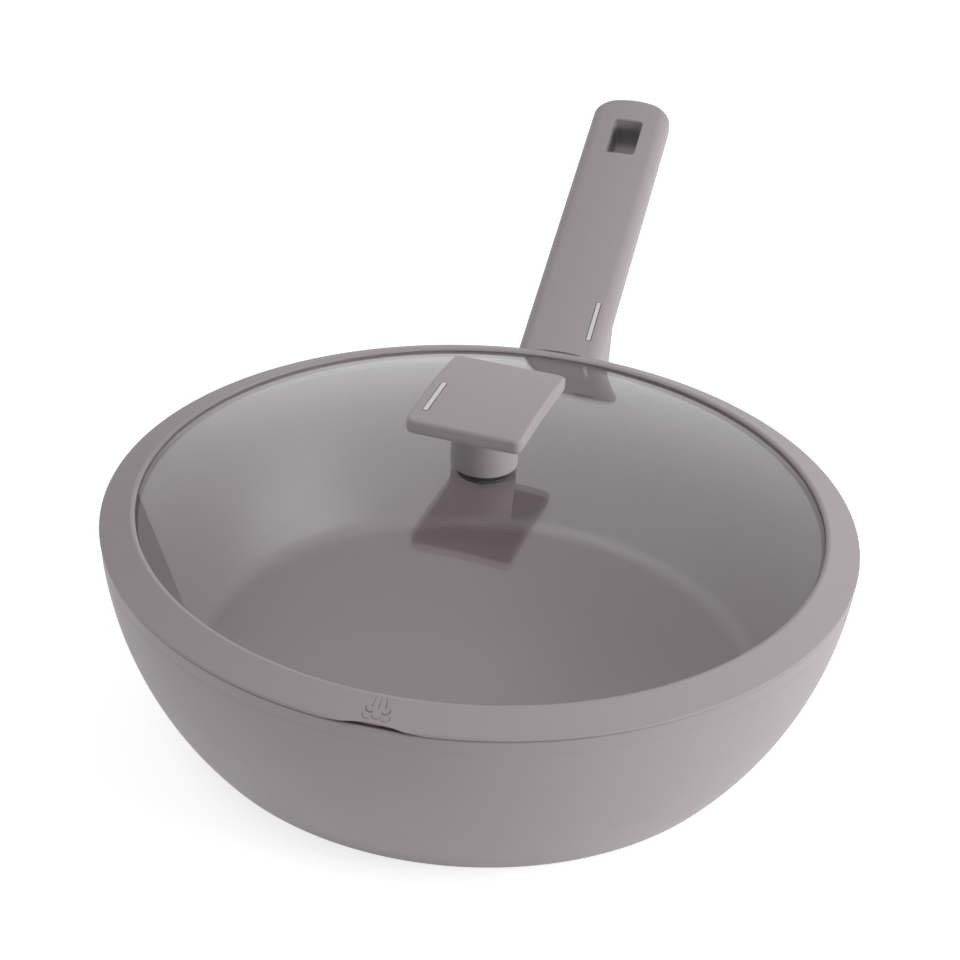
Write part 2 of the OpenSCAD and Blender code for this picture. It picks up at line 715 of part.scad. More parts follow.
module knob_screw() color(steel) {
    difference() {
        union() {
            translate([0, 0, cup_z - knob_screw_head_h])
                cylinder(r = knob_screw_head_r, h = knob_screw_head_h, $fn = coarse);
            translate([0, 0, cup_z - fit_gap])
                cylinder(r = knob_screw_r, h = insert_top - cup_z, $fn = coarse);
        }
        for (turn = [0, 90]) translate([0, 0, cup_z - knob_screw_head_h]) rotate([0, 0, turn])
            cube([knob_screw_head_r, knob_screw_r / 2, knob_screw_head_h], center = true);
    }
}

wok_body();
induction_disc();
handle_bracket();
weld_studs();
handle_grip();
handle_screw();
handle_washer();
handle_strip();
lid_ring();
lid_glass();
knob_grip();
knob_insert();
knob_strip();
knob_gasket();
under_gasket();
cup_washer();
knob_screw();
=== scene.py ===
"""Looks of the wok with its lid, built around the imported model, with its stage and camera."""
import math

import bmesh
import bpy
from bpy.props import FloatProperty, IntProperty, PointerProperty, StringProperty
from bpy.types import Operator, Panel, PropertyGroup
from mathutils import Matrix, Vector


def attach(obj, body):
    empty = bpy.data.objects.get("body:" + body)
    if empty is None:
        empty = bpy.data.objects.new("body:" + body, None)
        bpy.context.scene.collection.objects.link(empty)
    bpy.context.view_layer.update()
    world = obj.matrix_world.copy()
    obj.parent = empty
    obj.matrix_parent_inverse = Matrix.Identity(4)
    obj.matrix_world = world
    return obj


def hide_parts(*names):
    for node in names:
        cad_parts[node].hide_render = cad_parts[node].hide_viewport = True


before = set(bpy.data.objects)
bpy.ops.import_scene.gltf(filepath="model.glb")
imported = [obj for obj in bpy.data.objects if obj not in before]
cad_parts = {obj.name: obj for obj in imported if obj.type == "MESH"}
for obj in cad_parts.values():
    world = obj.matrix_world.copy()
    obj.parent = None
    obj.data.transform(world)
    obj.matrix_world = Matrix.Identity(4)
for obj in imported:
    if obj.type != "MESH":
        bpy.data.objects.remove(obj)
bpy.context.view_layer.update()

bl_info = {
    "name": "Wok with lid",
    "version": (1, 0, 0),
    "blender": (4, 5, 0),
    "location": "3D View > Sidebar > Wok",
    "description": "Builds a bowed wok with a long handle and a domed glass lid",
    "category": "Object",
}

MM = 0.001
WELD = 1e-6
FULL_TURN = 2 * math.pi
WHITE = (1.0, 1.0, 1.0, 1.0)
# Steps round the gaskets and washers
SMALL_SEGMENTS = 96


def length(name, default_mm, description):
    """A length that a user would change, given in millimetres and kept in metres."""
    return FloatProperty(name=name, description=description, default=default_mm * MM, min=0.0,
                         precision=5, unit="LENGTH", subtype="DISTANCE")


def angle(name, default_degrees, description):
    return FloatProperty(name=name, description=description, default=math.radians(default_degrees),
                         unit="ROTATION", subtype="ANGLE")


def hex_colour(name, default, description):
    return StringProperty(name=name, description=description, default=default, maxlen=7)


def amount(name, default, description, high):
    return FloatProperty(name=name, description=description, default=default, min=0.0, max=high)


class WokSizes(PropertyGroup):
    """Sizes of the pan."""
    rim_radius: length("Rim radius", 145.1, "Outside radius at the rim")
    rim_height: length("Rim height", 78.8, "Height of the rim above the base")
    bow_radius: length("Bow radius", 138, "Radius of the bow of the side wall")
    rim_lean: angle("Rim lean", 3.9, "Lean of the wall at the rim, from upright")
    wall: length("Wall", 3.3, "Thickness of the side wall")
    floor: length("Floor", 6.3, "Thickness of the floor with its disc")
    base_round: length("Base edge", 4, "Radius where the wall turns under")
    floor_round: length("Floor edge", 12, "Radius where the wall meets the floor inside")
    rim_round: length("Rim edge", 0.8, "Radius of the rim's edges")
    band_height: length("Band height", 6.3, "Height of the turned band below the rim")
    band_step: length("Band step", 0.15, "Depth of the turned band")
    disc_edge: length("Disc border", 12, "Width of the base that shows round the disc")
    disc_thick: length("Disc thickness", 0.8, "Thickness of the steel disc")
    disc_gap: length("Disc gap", 0.1, "Gap round the disc")
    segments: IntProperty(name="Segments", default=288, min=48, max=512,
                          description="Steps round each turned piece")


class LidSizes(PropertyGroup):
    """Sizes of the lid's soft rim and its glass."""
    over: length("Overhang", 0.2, "How far the lid rim stands out past the wok's rim")
    width: length("Width", 13.5, "Width of the lid rim's top, measured level")
    slope: angle("Slope", 20.6, "Slope of the lid rim's top")
    bead: length("Bead", 0.7, "Radius of the outer bead")
    lip: length("Lip", 0.9, "Radius of the inner lip")
    plug: length("Plug", 5.5, "Depth of the lid rim inside the wok")
    plug_gap: length("Plug gap", 0.5, "Gap between plug and wall")
    lower_back: length("Lower lip", 1.8, "How much further out the lower lip ends")
    seat_gap: length("Seat gap", 0.1, "Gap between the lid rim and the wok's rim")
    vent_width: length("Vent width", 36, "Width of each steam vent")
    vent_height: length("Vent height", 1.5, "Height of each steam vent")
    turn: angle("Turn", -1.5, "Turn of the lid on the wok")
    mark_depth: length("Mark depth", 0.5, "Depth of the steam marks")
    mark_line: length("Mark line", 0.9, "Width of the steam marks' lines")
    mark_length: length("Mark length", 4.8, "Length of a steam line")
    mark_wave: length("Mark wave", 1.7, "Radius of a wave of the steam mark")
    glass: length("Glass", 4, "Thickness of the glass")
    dome: length("Dome", 21, "Height of the dome above its edge")
    glass_in: length("Glass in rim", 4.6, "Depth of the glass in the lid rim")
    glass_cover: length("Cover", 1.2, "Thickness of the lid rim over the glass")
    glass_gap: length("Glass gap", 0.1, "Gap round the glass")
    hole: length("Hole", 4.6, "Radius of the hole in the glass")


class KnobSizes(PropertyGroup):
    """Sizes of the knob and of what holds it."""
    length: length("Paddle length", 57, "Length of the paddle")
    width: length("Paddle width", 45.2, "Width of the paddle")
    thick: length("Paddle thickness", 6.3, "Thickness at the paddle's ends")
    arch: length("Arch", 1.7, "How much higher the paddle's middle is than its ends")
    edge: length("Upper edge", 1.3, "Radius of the edges round the paddle's top")
    under_edge: length("Lower edge", 2.4, "Radius of the edges round the paddle's underside")
    corner: length("Corner", 3, "Radius of the paddle's corners, seen from above")
    stem_radius: length("Stem radius", 12.8, "Radius of the stem")
    stem_height: length("Stem height", 21.6, "Length of the stem below the paddle")
    turn: angle("Turn", -4.3, "Turn of the knob on the lid")
    strip_in: length("Strip side", 5.2, "Distance from the strip to the paddle's left edge")
    strip_front: length("Strip front", 7.9, "Distance from the strip to the paddle's front end")
    strip_length: length("Strip length", 21.6, "Length of the knob's bright strip")
    gasket_radius: length("Gasket radius", 10.7, "Radius of the gasket under the stem")
    gasket: length("Gasket", 1.2, "Thickness of the gasket under the stem")
    under_radius: length("Lower gasket radius", 10, "Radius of the gasket below the glass")
    under: length("Lower gasket", 1.2, "Thickness of the gasket below the glass")
    cup_radius: length("Washer radius", 8.6, "Radius of the steel cup washer")
    cup: length("Washer", 1, "Thickness of the steel cup washer")
    screw: length("Screw", 2.5, "Shank radius of the knob screw")
    insert: length("Insert", 4.5, "Radius of the brass insert")
    insert_length: length("Insert length", 13, "Length of the brass insert")
    fit: length("Fit", 0.05, "Gap at a close fit")


class GripSizes(PropertyGroup):
    """Sizes of the handle's grip and of the bright strips."""
    tip: length("Tip", 312, "Distance from the wok's axis to the tip")
    rise: angle("Rise", 18, "Slope of the handle")
    width: length("Width", 36.2, "Width of the grip")
    thick: length("Thickness", 20.5, "Thickness of the grip, square to its slope")
    top_edge: length("Top edge", 5, "Radius of the long edges along the grip's top")
    low_edge: length("Lower edge", 10.5, "Radius of the long edges under the grip")
    root_edge: length("Root edge", 8, "Radius of the edges under the root")
    end_edge: length("End edge", 3.6, "Radius of the edge over the grip's end")
    end_low: length("End lower edge", 4, "Radius of the edge under the grip's end")
    crown: length("Crown", 1.6, "Crown across the top of the grip")
    end_bow: length("End bow", 9, "Length over which the end curves in")
    root_up: length("Root rise", 1.4, "Height of the grip's top above the rim at the wall")
    root_length: length("Root length", 31, "Length of the deep root")
    root_low: length("Root height", 44, "Height of the underside of the root")
    root_step: length("Root step", 8, "Run of the step down to the root")
    wall_gap: length("Wall gap", 0.4, "Gap between the grip and the wall")
    lid_gap: length("Lid gap", 0.5, "Gap between the grip and the lid")
    hole_length: length("Hole length", 24, "Length of the hanging hole")
    hole_width: length("Hole width", 14, "Width of the hanging hole")
    hole_inset: length("Hole inset", 16, "Distance from the tip to the hanging hole")
    hole_round: length("Hole corner", 2, "Radius of the hanging hole's corners")
    hole_break: length("Hole edge", 0.8, "Radius of the soft edge of the hanging hole")
    hole_draft: length("Hole draft", 1.4, "How much each side of the hole leans in towards the underside")
    strip_side: length("Strip side", 11.3, "Distance from the middle line to the strip")
    strip_from_rim: length("Strip start", 10, "Distance from the rim to the strip")
    strip_length: length("Strip length", 24.2, "Length of the handle's bright strip")
    strip_width: length("Strip width", 1.9, "Width of each bright strip")
    strip_deep: length("Strip depth", 1.2, "Depth of each strip's groove")
    strip_gap: length("Strip gap", 0.25, "Gap round each strip")


class Finishes(PropertyGroup):
    """Colours of the pieces, as sRGB hex values."""
    lacquer: hex_colour("Lacquer", "#978E91", "Matt lacquer outside")
    coating: hex_colour("Coating", "#7B6A6F", "Non-stick coating inside")
    soft_touch: hex_colour("Soft touch", "#9C9396", "Coat of the grip and the knob")
    silicone: hex_colour("Silicone", "#9C9396", "Soft rim of the lid")
    # Painted shade: the hanging hole's wall darkens to this colour with depth, for bare phenolic and for the
    # shade deep in the hole
    phenolic: hex_colour("Phenolic", "#6A6668", "Bare phenolic and painted shade deep in the hanging hole")
    gasket: hex_colour("Gasket", "#4C4A4C", "Black silicone gaskets")
    steel: hex_colour("Steel", "#C9C8C8", "Stainless steel")
    bare: hex_colour("Aluminium", "#C4C5C8", "Bare aluminium")
    brass: hex_colour("Brass", "#C9A765", "Turned brass")
    glass: hex_colour("Glass", "#F4F6F6", "Clear glass")


class Studio(PropertyGroup):
    """Camera and light of the stage."""
    lens: FloatProperty(name="Lens", default=97.57, min=10, description="Focal length in millimetres")
    distance: length("Distance", 1000, "Distance of the camera from the middle of the rim")
    azimuth: angle("Azimuth", -168.4, "Direction of the camera from the wok's axis")
    elevation: angle("Elevation", 30.824, "Height of the camera's view")
    roll: angle("Roll", -3.066, "Roll of the camera")
    aim_x: FloatProperty(name="Aim X", default=480.83, description="Pixel column of the middle of the rim")
    aim_y: FloatProperty(name="Aim Y", default=517.59, description="Pixel row of the middle of the rim")
    ambient: amount("Ambient", 0.7, "Level of the even light", 2.0)
    front: amount("Front", 0.22, "Level of the even light from the camera's side", 2.0)
    floor: amount("Floor glow", 0.2, "Light that the floor gives beside what it reflects", 2.0)
    right: amount("Right box", 18.5, "Power of the softbox on the right", 500.0)
    left: amount("Left box", 4.0, "Power of the softbox on the left", 500.0)
    card: amount("Card", 0.03, "Brightness of the grey card that the glass mirrors", 2.0)
    card_from: angle("Card edge", 22.6, "Foot of the grey card's near edge, to the left of the view")
    card_lean: angle("Card lean", 25.8, "How much further left the top of that edge is")
    card_to: angle("Card end", 65, "Far end of the grey card, to the left of the view")


GROUPS = {
    "wok_sizes": WokSizes,
    "lid_sizes": LidSizes,
    "knob_sizes": KnobSizes,
    "grip_sizes": GripSizes,
    "wok_finishes": Finishes,
    "wok_studio": Studio,
}


# Points and outlines

def arc(middle, radius, start, end, steps):
    """Points along an arc from one angle to another, in radians."""
    turns = [start + (end - start) * i / steps for i in range(steps + 1)]
    return [(middle[0] + radius * math.cos(t), middle[1] + radius * math.sin(t)) for t in turns]


def quarter(middle, radius, first, steps=8):
    """Rounded corner that starts at the direction first, counted in quarter turns."""
    return arc(middle, radius, first * math.pi / 2, (first + 1) * math.pi / 2, steps)


def rounded_box(a, b, r, steps=8, along=1, low=None):
    """Outline of a rectangle of half sizes a and b, rounded by r, or by low on its lower side."""
    points = []
    for q, (sx, sy) in enumerate(((1, 1), (-1, 1), (-1, -1), (1, -1))):
        c = r if q < 2 or low is None else low
        points += quarter((sx * (a - c), sy * (b - c)), c, q, steps)
        if q in (0, 2):
            side = points[-1]
            points += [(side[0] - sx * 2 * (a - c) * i / along, side[1]) for i in range(1, along)]
    return points


def thinned(values, least):
    """Sorted values without those that follow the last kept one too closely."""
    kept = []
    for value in sorted(values):
        if not kept or value - kept[-1] > least:
            kept.append(value)
    return kept


def share_left(e, reach, power):
    """Share of a full size that a round end leaves at a distance e from its tip."""
    return 1.0 if e >= reach else max(1 - (1 - e / reach) ** power, 0.0) ** (1 / power)


def smooth_step(t):
    t = min(max(t, 0.0), 1.0)
    return t * t * (3 - 2 * t)


class Bow:
    """The bowed wall of the wok, as arcs about one middle."""

    wall_steps = 72
    foot_steps = 14

    def __init__(self, s):
        self.size = s
        self.x = s.rim_radius - s.bow_radius * math.cos(s.rim_lean)
        self.z = s.rim_height + s.bow_radius * math.sin(s.rim_lean)

    def radius_at(self, inset, z):
        return self.x + math.sqrt((self.size.bow_radius - inset) ** 2 - (self.z - z) ** 2)

    def angle_at(self, inset, z):
        return -math.asin((self.z - z) / (self.size.bow_radius - inset))

    def corner(self, inset, level, rho):
        """Middle of a corner circle of radius rho between the wall and a level floor."""
        reach = self.size.bow_radius - inset - rho
        return (self.x + math.sqrt(reach ** 2 - (self.z - level - rho) ** 2), level + rho)

    def line(self, inset, level, rho, top):
        """Outline from the end of the floor up the wall to the height top."""
        k = self.corner(inset, level, rho)
        turn = math.atan2(k[1] - self.z, k[0] - self.x)
        low = arc(k, rho, -math.pi / 2, turn, self.foot_steps)
        reach = self.size.bow_radius - inset
        wall = arc((self.x, self.z), reach, turn, self.angle_at(inset, top), self.wall_steps)
        return low + wall[1:]


class Lid:
    """Heights and radii of the lid, worked out from its sizes."""

    def __init__(self, wok, lid, knob):
        bow = Bow(wok)
        self.ring_r = wok.rim_radius + lid.over
        self.in_r = self.ring_r - lid.width
        self.seat = wok.rim_height + lid.seat_gap
        self.bead_z = self.seat + lid.bead
        self.in_z = self.bead_z + lid.bead + (lid.width - lid.bead) * math.tan(lid.slope)
        self.plug_r = bow.radius_at(wok.wall, wok.rim_height) - lid.plug_gap
        self.plug_z = wok.rim_height - lid.plug
        self.glass_r = self.in_r + lid.glass_in
        self.dome_r = (self.glass_r ** 2 + lid.dome ** 2) / (2 * lid.dome)
        self.dome_z = self.in_z - lid.glass_cover - math.sqrt(self.dome_r ** 2 - self.in_r ** 2)
        self.apex = self.dome_z + self.dome_r
        self.under = self.apex - lid.glass
        self.stem = self.apex + knob.gasket
        self.paddle = self.stem + knob.stem_height
        self.cup = self.under - knob.under - knob.cup

    def outer(self, r):
        """Height of the glass's outer face at a radius."""
        return self.dome_z + math.sqrt(self.dome_r ** 2 - r ** 2)

    def inner(self, r, thick):
        return self.dome_z + math.sqrt((self.dome_r - thick) ** 2 - r ** 2)


# Meshes

def new_piece(name, points, faces, material=None):
    mesh = bpy.data.meshes.new(name)
    mesh.from_pydata([tuple(p) for p in points], [], faces)
    mesh.validate()
    piece = bpy.data.objects.new(name, mesh)
    bpy.context.scene.collection.objects.link(piece)
    if material is not None:
        mesh.materials.append(material)
    return piece


def bake(piece):
    """Turns what the modifiers make into the piece's plain mesh, and takes them off."""
    graph = bpy.context.evaluated_depsgraph_get()
    old = piece.data
    piece.data = bpy.data.meshes.new_from_object(piece.evaluated_get(graph), preserve_all_data_layers=True,
                                                 depsgraph=graph)
    piece.modifiers.clear()
    piece.data.name = piece.name
    if old.users == 0:
        bpy.data.meshes.remove(old)


def soften(piece, sharp_degrees):
    """Smooth shading with crisp edges where faces meet sharply, weighted by the size of the faces."""
    mesh = piece.data
    mesh.shade_smooth()
    mesh.set_sharp_from_angle(angle=math.radians(sharp_degrees))
    weights = piece.modifiers.new("Weights", "WEIGHTED_NORMAL")
    weights.keep_sharp = True
    bake(piece)


def carve(piece, cutters, operation="DIFFERENCE"):
    """Cuts the cutters out of a piece, or joins them to it. A cut takes its cutter's material."""
    for cutter in cutters:
        cut = piece.modifiers.new("Cut", "BOOLEAN")
        cut.object = cutter
        cut.operation = operation
        cut.solver = "EXACT"
        if any(cutter.data.materials):
            cut.material_mode = "TRANSFER"
    bake(piece)
    for cutter in cutters:
        bpy.data.objects.remove(cutter)


def loft(name, rings, material=None):
    """Closed skin over a row of rings of points, with a pole at the middle of each end."""
    count = len(rings[0])
    points = [p for ring in rings for p in ring]
    faces = []
    for k in range(len(rings) - 1):
        for i in range(count):
            j = (i + 1) % count
            faces.append((k * count + i, k * count + j, (k + 1) * count + j, (k + 1) * count + i))
    for k, ring in ((0, rings[0]), (len(rings) - 1, rings[-1])):
        pole = len(points)
        points.append(sum((Vector(p) for p in ring), Vector()) / count)
        for i in range(count):
            edge = (k * count + i, k * count + (i + 1) % count)
            faces.append((edge[1], edge[0], pole) if k == 0 else (edge[0], edge[1], pole))
    piece = new_piece(name, points, faces, material)
    face_outwards(piece)
    return piece


def face_outwards(piece):
    """Welds doubled points and points every face of a closed skin outwards."""
    work = bmesh.new()
    work.from_mesh(piece.data)
    bmesh.ops.remove_doubles(work, verts=work.verts, dist=WELD)
    bmesh.ops.recalc_face_normals(work, faces=work.faces)
    if work.calc_volume(signed=True) < 0:
        bmesh.ops.reverse_faces(work, faces=work.faces)
    work.to_mesh(piece.data)
    work.free()


def placed(piece, matrix):
    """Puts a piece's place into its mesh, so that its object stays at the origin."""
    piece.data.transform(matrix)
    return piece


# Geometry Nodes

def add(nodes, kind, links=None, **settings):
    """Adds a node, sets its properties and input values by name, and links its inputs."""
    node = nodes.new(kind)
    for name, value in settings.items():
        setattr(node, name, value)
    tree = node.id_data
    for name, value in (links or {}).items():
        socket = node.inputs[name]
        if isinstance(value, bpy.types.NodeSocket):
            tree.links.new(value, socket)
        elif isinstance(value, bpy.types.Node):
            tree.links.new(value.outputs[0], socket)
        else:
            socket.default_value = value
    return node


def new_tree(name, inputs):
    """Geometry node tree with named inputs, given with its input node and its input sockets."""
    tree = bpy.data.node_groups.new(name, "GeometryNodeTree")
    tree.interface.new_socket("Geometry", in_out="OUTPUT", socket_type="NodeSocketGeometry")
    tree.interface.new_socket("Geometry", in_out="INPUT", socket_type="NodeSocketGeometry")
    sockets = {}
    for label, kind in inputs.items():
        sockets[label] = tree.interface.new_socket(label, in_out="INPUT", socket_type="NodeSocket" + kind)
    given = tree.nodes.new("NodeGroupInput")
    return tree, given, sockets


def run_tree(piece, tree, sockets, values):
    """Puts a tree on a piece, sets its inputs by their identifiers and turns the result into a plain mesh."""
    modifier = piece.modifiers.new(tree.name, "NODES")
    modifier.node_group = tree
    for label, value in values.items():
        modifier[sockets[label].identifier] = value
    bake(piece)


def turning_tree():
    """Turns a section of points about the Z axis. Points past a given row get a second material."""
    tree, given, sockets = new_tree("Turning", {
        "Segments": "Int", "Material": "Material", "Inside material": "Material", "Inside from row": "Int"})
    nodes, section = tree.nodes, given.outputs["Geometry"]
    size = add(nodes, "GeometryNodeAttributeDomainSize", {"Geometry": section}, component="MESH")
    rows = size.outputs["Point Count"]
    columns = add(nodes, "ShaderNodeMath", {0: given.outputs["Segments"], 1: 1.0}, operation="ADD")
    grid = add(nodes, "GeometryNodeMeshGrid", {"Vertices X": columns, "Vertices Y": rows})
    index = add(nodes, "GeometryNodeInputIndex")
    row = add(nodes, "ShaderNodeMath", {0: index, 1: rows}, operation="FLOORED_MODULO")
    share = add(nodes, "ShaderNodeMath", {0: index, 1: rows}, operation="DIVIDE")
    column = add(nodes, "ShaderNodeMath", {0: share}, operation="FLOOR")
    turns = add(nodes, "ShaderNodeMath", {0: column, 1: given.outputs["Segments"]}, operation="DIVIDE")
    turn = add(nodes, "ShaderNodeMath", {0: turns, 1: FULL_TURN}, operation="MULTIPLY")
    place = add(nodes, "GeometryNodeInputPosition")
    sample = add(nodes, "GeometryNodeSampleIndex", {
        "Geometry": section, "Value": place, "Index": row}, data_type="FLOAT_VECTOR", domain="POINT")
    split = add(nodes, "ShaderNodeSeparateXYZ", {0: sample})
    sides = []
    for kind in ("COSINE", "SINE"):
        wave = add(nodes, "ShaderNodeMath", {0: turn}, operation=kind)
        sides.append(add(nodes, "ShaderNodeMath", {0: wave, 1: split.outputs["X"]}, operation="MULTIPLY"))
    point = add(nodes, "ShaderNodeCombineXYZ", {0: sides[0], 1: sides[1], 2: split.outputs["Z"]})
    kept = add(nodes, "GeometryNodeCaptureAttribute", {"Geometry": grid.outputs["Mesh"]})
    kept.capture_items.new("FLOAT", "Row")
    tree.links.new(row.outputs[0], kept.inputs["Row"])
    bent = add(nodes, "GeometryNodeSetPosition", {"Geometry": kept.outputs["Geometry"], "Position": point})
    welded = add(nodes, "GeometryNodeMergeByDistance", {"Geometry": bent, "Distance": WELD})
    inside = add(nodes, "ShaderNodeMath", {
        0: kept.outputs["Row"], 1: given.outputs["Inside from row"]}, operation="GREATER_THAN")
    real = add(nodes, "GeometryNodeRealizeInstances", {"Geometry": welded})
    outer = add(nodes, "GeometryNodeSetMaterial", {"Geometry": real, "Material": given.outputs["Material"]})
    both = add(nodes, "GeometryNodeSetMaterial", {
        "Geometry": outer, "Selection": inside, "Material": given.outputs["Inside material"]})
    add(nodes, "NodeGroupOutput", {"Geometry": both})
    return tree, sockets


def turned(name, section, material, segments, inside=None, inside_row=10 ** 6):
    """Piece turned from a section: points of radius and height, round the outside first."""
    tree, sockets = turning_tree()
    piece = new_piece(name, [(r, 0.0, z) for r, z in section], [])
    run_tree(piece, tree, sockets, {
        "Segments": segments, "Material": material, "Inside material": inside or material,
        "Inside from row": inside_row})
    bpy.data.node_groups.remove(tree)
    return piece


def pressing_tree():
    """Presses the lines of a stamp into a skin, repeated a number of times round the Z axis."""
    tree, given, sockets = new_tree("Pressing", {
        "Stamp": "Object", "Count": "Int", "Line": "Float", "Depth": "Float", "Material": "Material"})
    nodes = tree.nodes
    stamp = add(nodes, "GeometryNodeObjectInfo", {"Object": given.outputs["Stamp"]})
    places = add(nodes, "GeometryNodeMeshLine", {"Count": given.outputs["Count"], "Offset": (0.0, 0.0, 0.0)})
    index = add(nodes, "GeometryNodeInputIndex")
    share = add(nodes, "ShaderNodeMath", {0: index, 1: given.outputs["Count"]}, operation="DIVIDE")
    turn = add(nodes, "ShaderNodeMath", {0: share, 1: FULL_TURN}, operation="MULTIPLY")
    turns = add(nodes, "ShaderNodeCombineXYZ", {2: turn})
    copies = add(nodes, "GeometryNodeInstanceOnPoints", {
        "Points": places, "Instance": stamp.outputs["Geometry"], "Rotation": turns})
    lines = add(nodes, "GeometryNodeRealizeInstances", {"Geometry": copies})
    near = add(nodes, "GeometryNodeProximity", {"Target": lines}, target_element="EDGES")
    half = add(nodes, "ShaderNodeMath", {0: given.outputs["Line"], 1: 0.5}, operation="MULTIPLY")
    down = add(nodes, "ShaderNodeMath", {0: given.outputs["Depth"], 1: -1.0}, operation="MULTIPLY")
    press = add(nodes, "ShaderNodeMapRange", {
        "Value": near.outputs["Distance"], "From Min": 0.0, "From Max": half, "To Min": down, "To Max": 0.0},
        interpolation_type="SMOOTHSTEP")
    normal = add(nodes, "GeometryNodeInputNormal")
    offset = add(nodes, "ShaderNodeVectorMath", {0: normal, "Scale": press}, operation="SCALE")
    pressed = add(nodes, "GeometryNodeSetPosition", {
        "Geometry": given.outputs["Geometry"], "Offset": offset})
    real = add(nodes, "GeometryNodeRealizeInstances", {"Geometry": pressed})
    done = add(nodes, "GeometryNodeSetMaterial", {"Geometry": real, "Material": given.outputs["Material"]})
    add(nodes, "NodeGroupOutput", {"Geometry": done})
    return tree, sockets


# Materials

def linear(text):
    """Linear colour from an sRGB hex value."""
    levels = [int(text[i:i + 2], 16) / 255 for i in (1, 3, 5)]
    return [v / 12.92 if v <= 0.04045 else ((v + 0.055) / 1.055) ** 2.4 for v in levels] + [1.0]


def empty_material(name):
    material = bpy.data.materials.new(name)
    material.use_nodes = True
    material.node_tree.nodes.clear()
    return material, material.node_tree.nodes


def new_material(name, values):
    """Material with a Principled shader, its values set by name, its output and object coordinates."""
    material, nodes = empty_material(name)
    shader = add(nodes, "ShaderNodeBsdfPrincipled", values)
    add(nodes, "ShaderNodeOutputMaterial", {"Surface": shader})
    place = add(nodes, "ShaderNodeTexCoord")
    return material, nodes, shader, place.outputs["Object"]


def feed(node, name, output):
    """Links an output to one of a node's inputs."""
    node.id_data.links.new(output, node.inputs[name])


def tinted(nodes, place, shader, colour, spot_mm, spread, rough, detail=3.0):
    """Colour and roughness that vary a little, in spots of a real size."""
    spots = add(nodes, "ShaderNodeTexNoise", {
        "Vector": place, "Scale": 1 / (spot_mm * MM), "Detail": detail, "Roughness": 0.6})
    low, high = [[v * share for v in linear(colour)[:3]] + [1.0] for share in (1 - spread, 1 + spread)]
    mix = add(nodes, "ShaderNodeMix", {0: spots.outputs["Fac"], 6: low, 7: high}, data_type="RGBA")
    feed(shader, "Base Color", mix.outputs[2])
    level = add(nodes, "ShaderNodeMapRange", {
        "Value": spots.outputs["Fac"], "From Min": 0.3, "From Max": 0.7,
        "To Min": rough[0], "To Max": rough[1]})
    feed(shader, "Roughness", level.outputs[0])


def grained(nodes, place, shader, grain_mm, height_mm, strength, detail=2.0, fineness=0.65):
    """Fine relief of a real grain size and height."""
    grain = add(nodes, "ShaderNodeTexNoise", {
        "Vector": place, "Scale": 1 / (grain_mm * MM), "Detail": detail, "Roughness": fineness})
    bump = add(nodes, "ShaderNodeBump", {
        "Height": grain.outputs["Fac"], "Strength": strength, "Distance": height_mm * MM})
    feed(shader, "Normal", bump.outputs[0])


def lacquered_aluminium(colour):
    """Forged aluminium with a sprayed matt lacquer: an even, faintly pebbled skin with a soft sheen."""
    material, nodes, shader, place = new_material("Matt lacquer on forged aluminium", {
        "IOR": 1.5, "Sheen Weight": 0.12, "Sheen Roughness": 0.5})
    tinted(nodes, place, shader, colour, 18, 0.012, (0.5, 0.58))
    # Sprayed droplets that flowed together are about 0.6 mm across
    grained(nodes, place, shader, 0.6, 0.02, 0.25)
    return material


def nonstick_coating(colour):
    """Granular non-stick coating: mineral grains under a fluoropolymer film, satin, with fine glints."""
    material, nodes, shader, place = new_material("Granular non-stick coating", {"IOR": 1.62})
    tinted(nodes, place, shader, colour, 0.9, 0.05, (0.3, 0.46), 2.0)
    # The real grains are about 0.2 mm, drawn at 0.7 mm so that they show
    grained(nodes, place, shader, 0.7, 0.07, 0.7)
    return material


def soft_touch_phenolic(colour):
    """Moulded phenolic with a soft-touch coat: dry, matt and a little velvety at grazing angles."""
    material, nodes, shader, place = new_material("Soft-touch coat on moulded phenolic", {
        "IOR": 1.5, "Sheen Weight": 0.15, "Sheen Roughness": 0.45})
    tinted(nodes, place, shader, colour, 12, 0.01, (0.56, 0.64))
    # The coat's dust-fine grain is drawn at 0.5 mm so that it shows
    grained(nodes, place, shader, 0.5, 0.015, 0.3)
    return material


def hole_wall_with_painted_shade(colour, bare, middle, rise, thick):
    """Wall of a hole whose coat fades with depth to bare dark phenolic; the darkening deep in the hole is
    also painted shade.
    """
    material, nodes, shader, place = new_material("Soft-touch coat fading to bare phenolic", {
        "IOR": 1.5, "Roughness": 0.6})
    # Near either face the coat keeps its colour; deeper in, the wall darkens fully: painted shade of the
    # hole's depth
    unshaded_to = 3 * MM
    full_shade_from = 7.5 * MM
    local = add(nodes, "ShaderNodeMapping", {
        "Vector": place, "Location": middle, "Rotation": (0.0, -rise, 0.0)}, vector_type="TEXTURE")
    split = add(nodes, "ShaderNodeSeparateXYZ", {0: local})
    lifted = add(nodes, "ShaderNodeMath", {0: split.outputs["Z"], 1: thick / 2}, operation="ADD")
    off = add(nodes, "ShaderNodeMath", {0: lifted}, operation="ABSOLUTE")
    coat = add(nodes, "ShaderNodeMapRange", {
        "Value": off, "From Min": thick / 2 - full_shade_from, "From Max": thick / 2 - unshaded_to},
        interpolation_type="SMOOTHSTEP")
    # Mixes from the dark colour deep inside, which paints the hole's shade, to the coat's colour near the
    # mouths
    mix = add(nodes, "ShaderNodeMix", {0: coat, 6: linear(bare), 7: linear(colour)}, data_type="RGBA")
    feed(shader, "Base Color", mix.outputs[2])
    # The coat's dust-fine grain is drawn at 0.5 mm so that it shows
    grained(nodes, place, shader, 0.5, 0.015, 0.3)
    return material


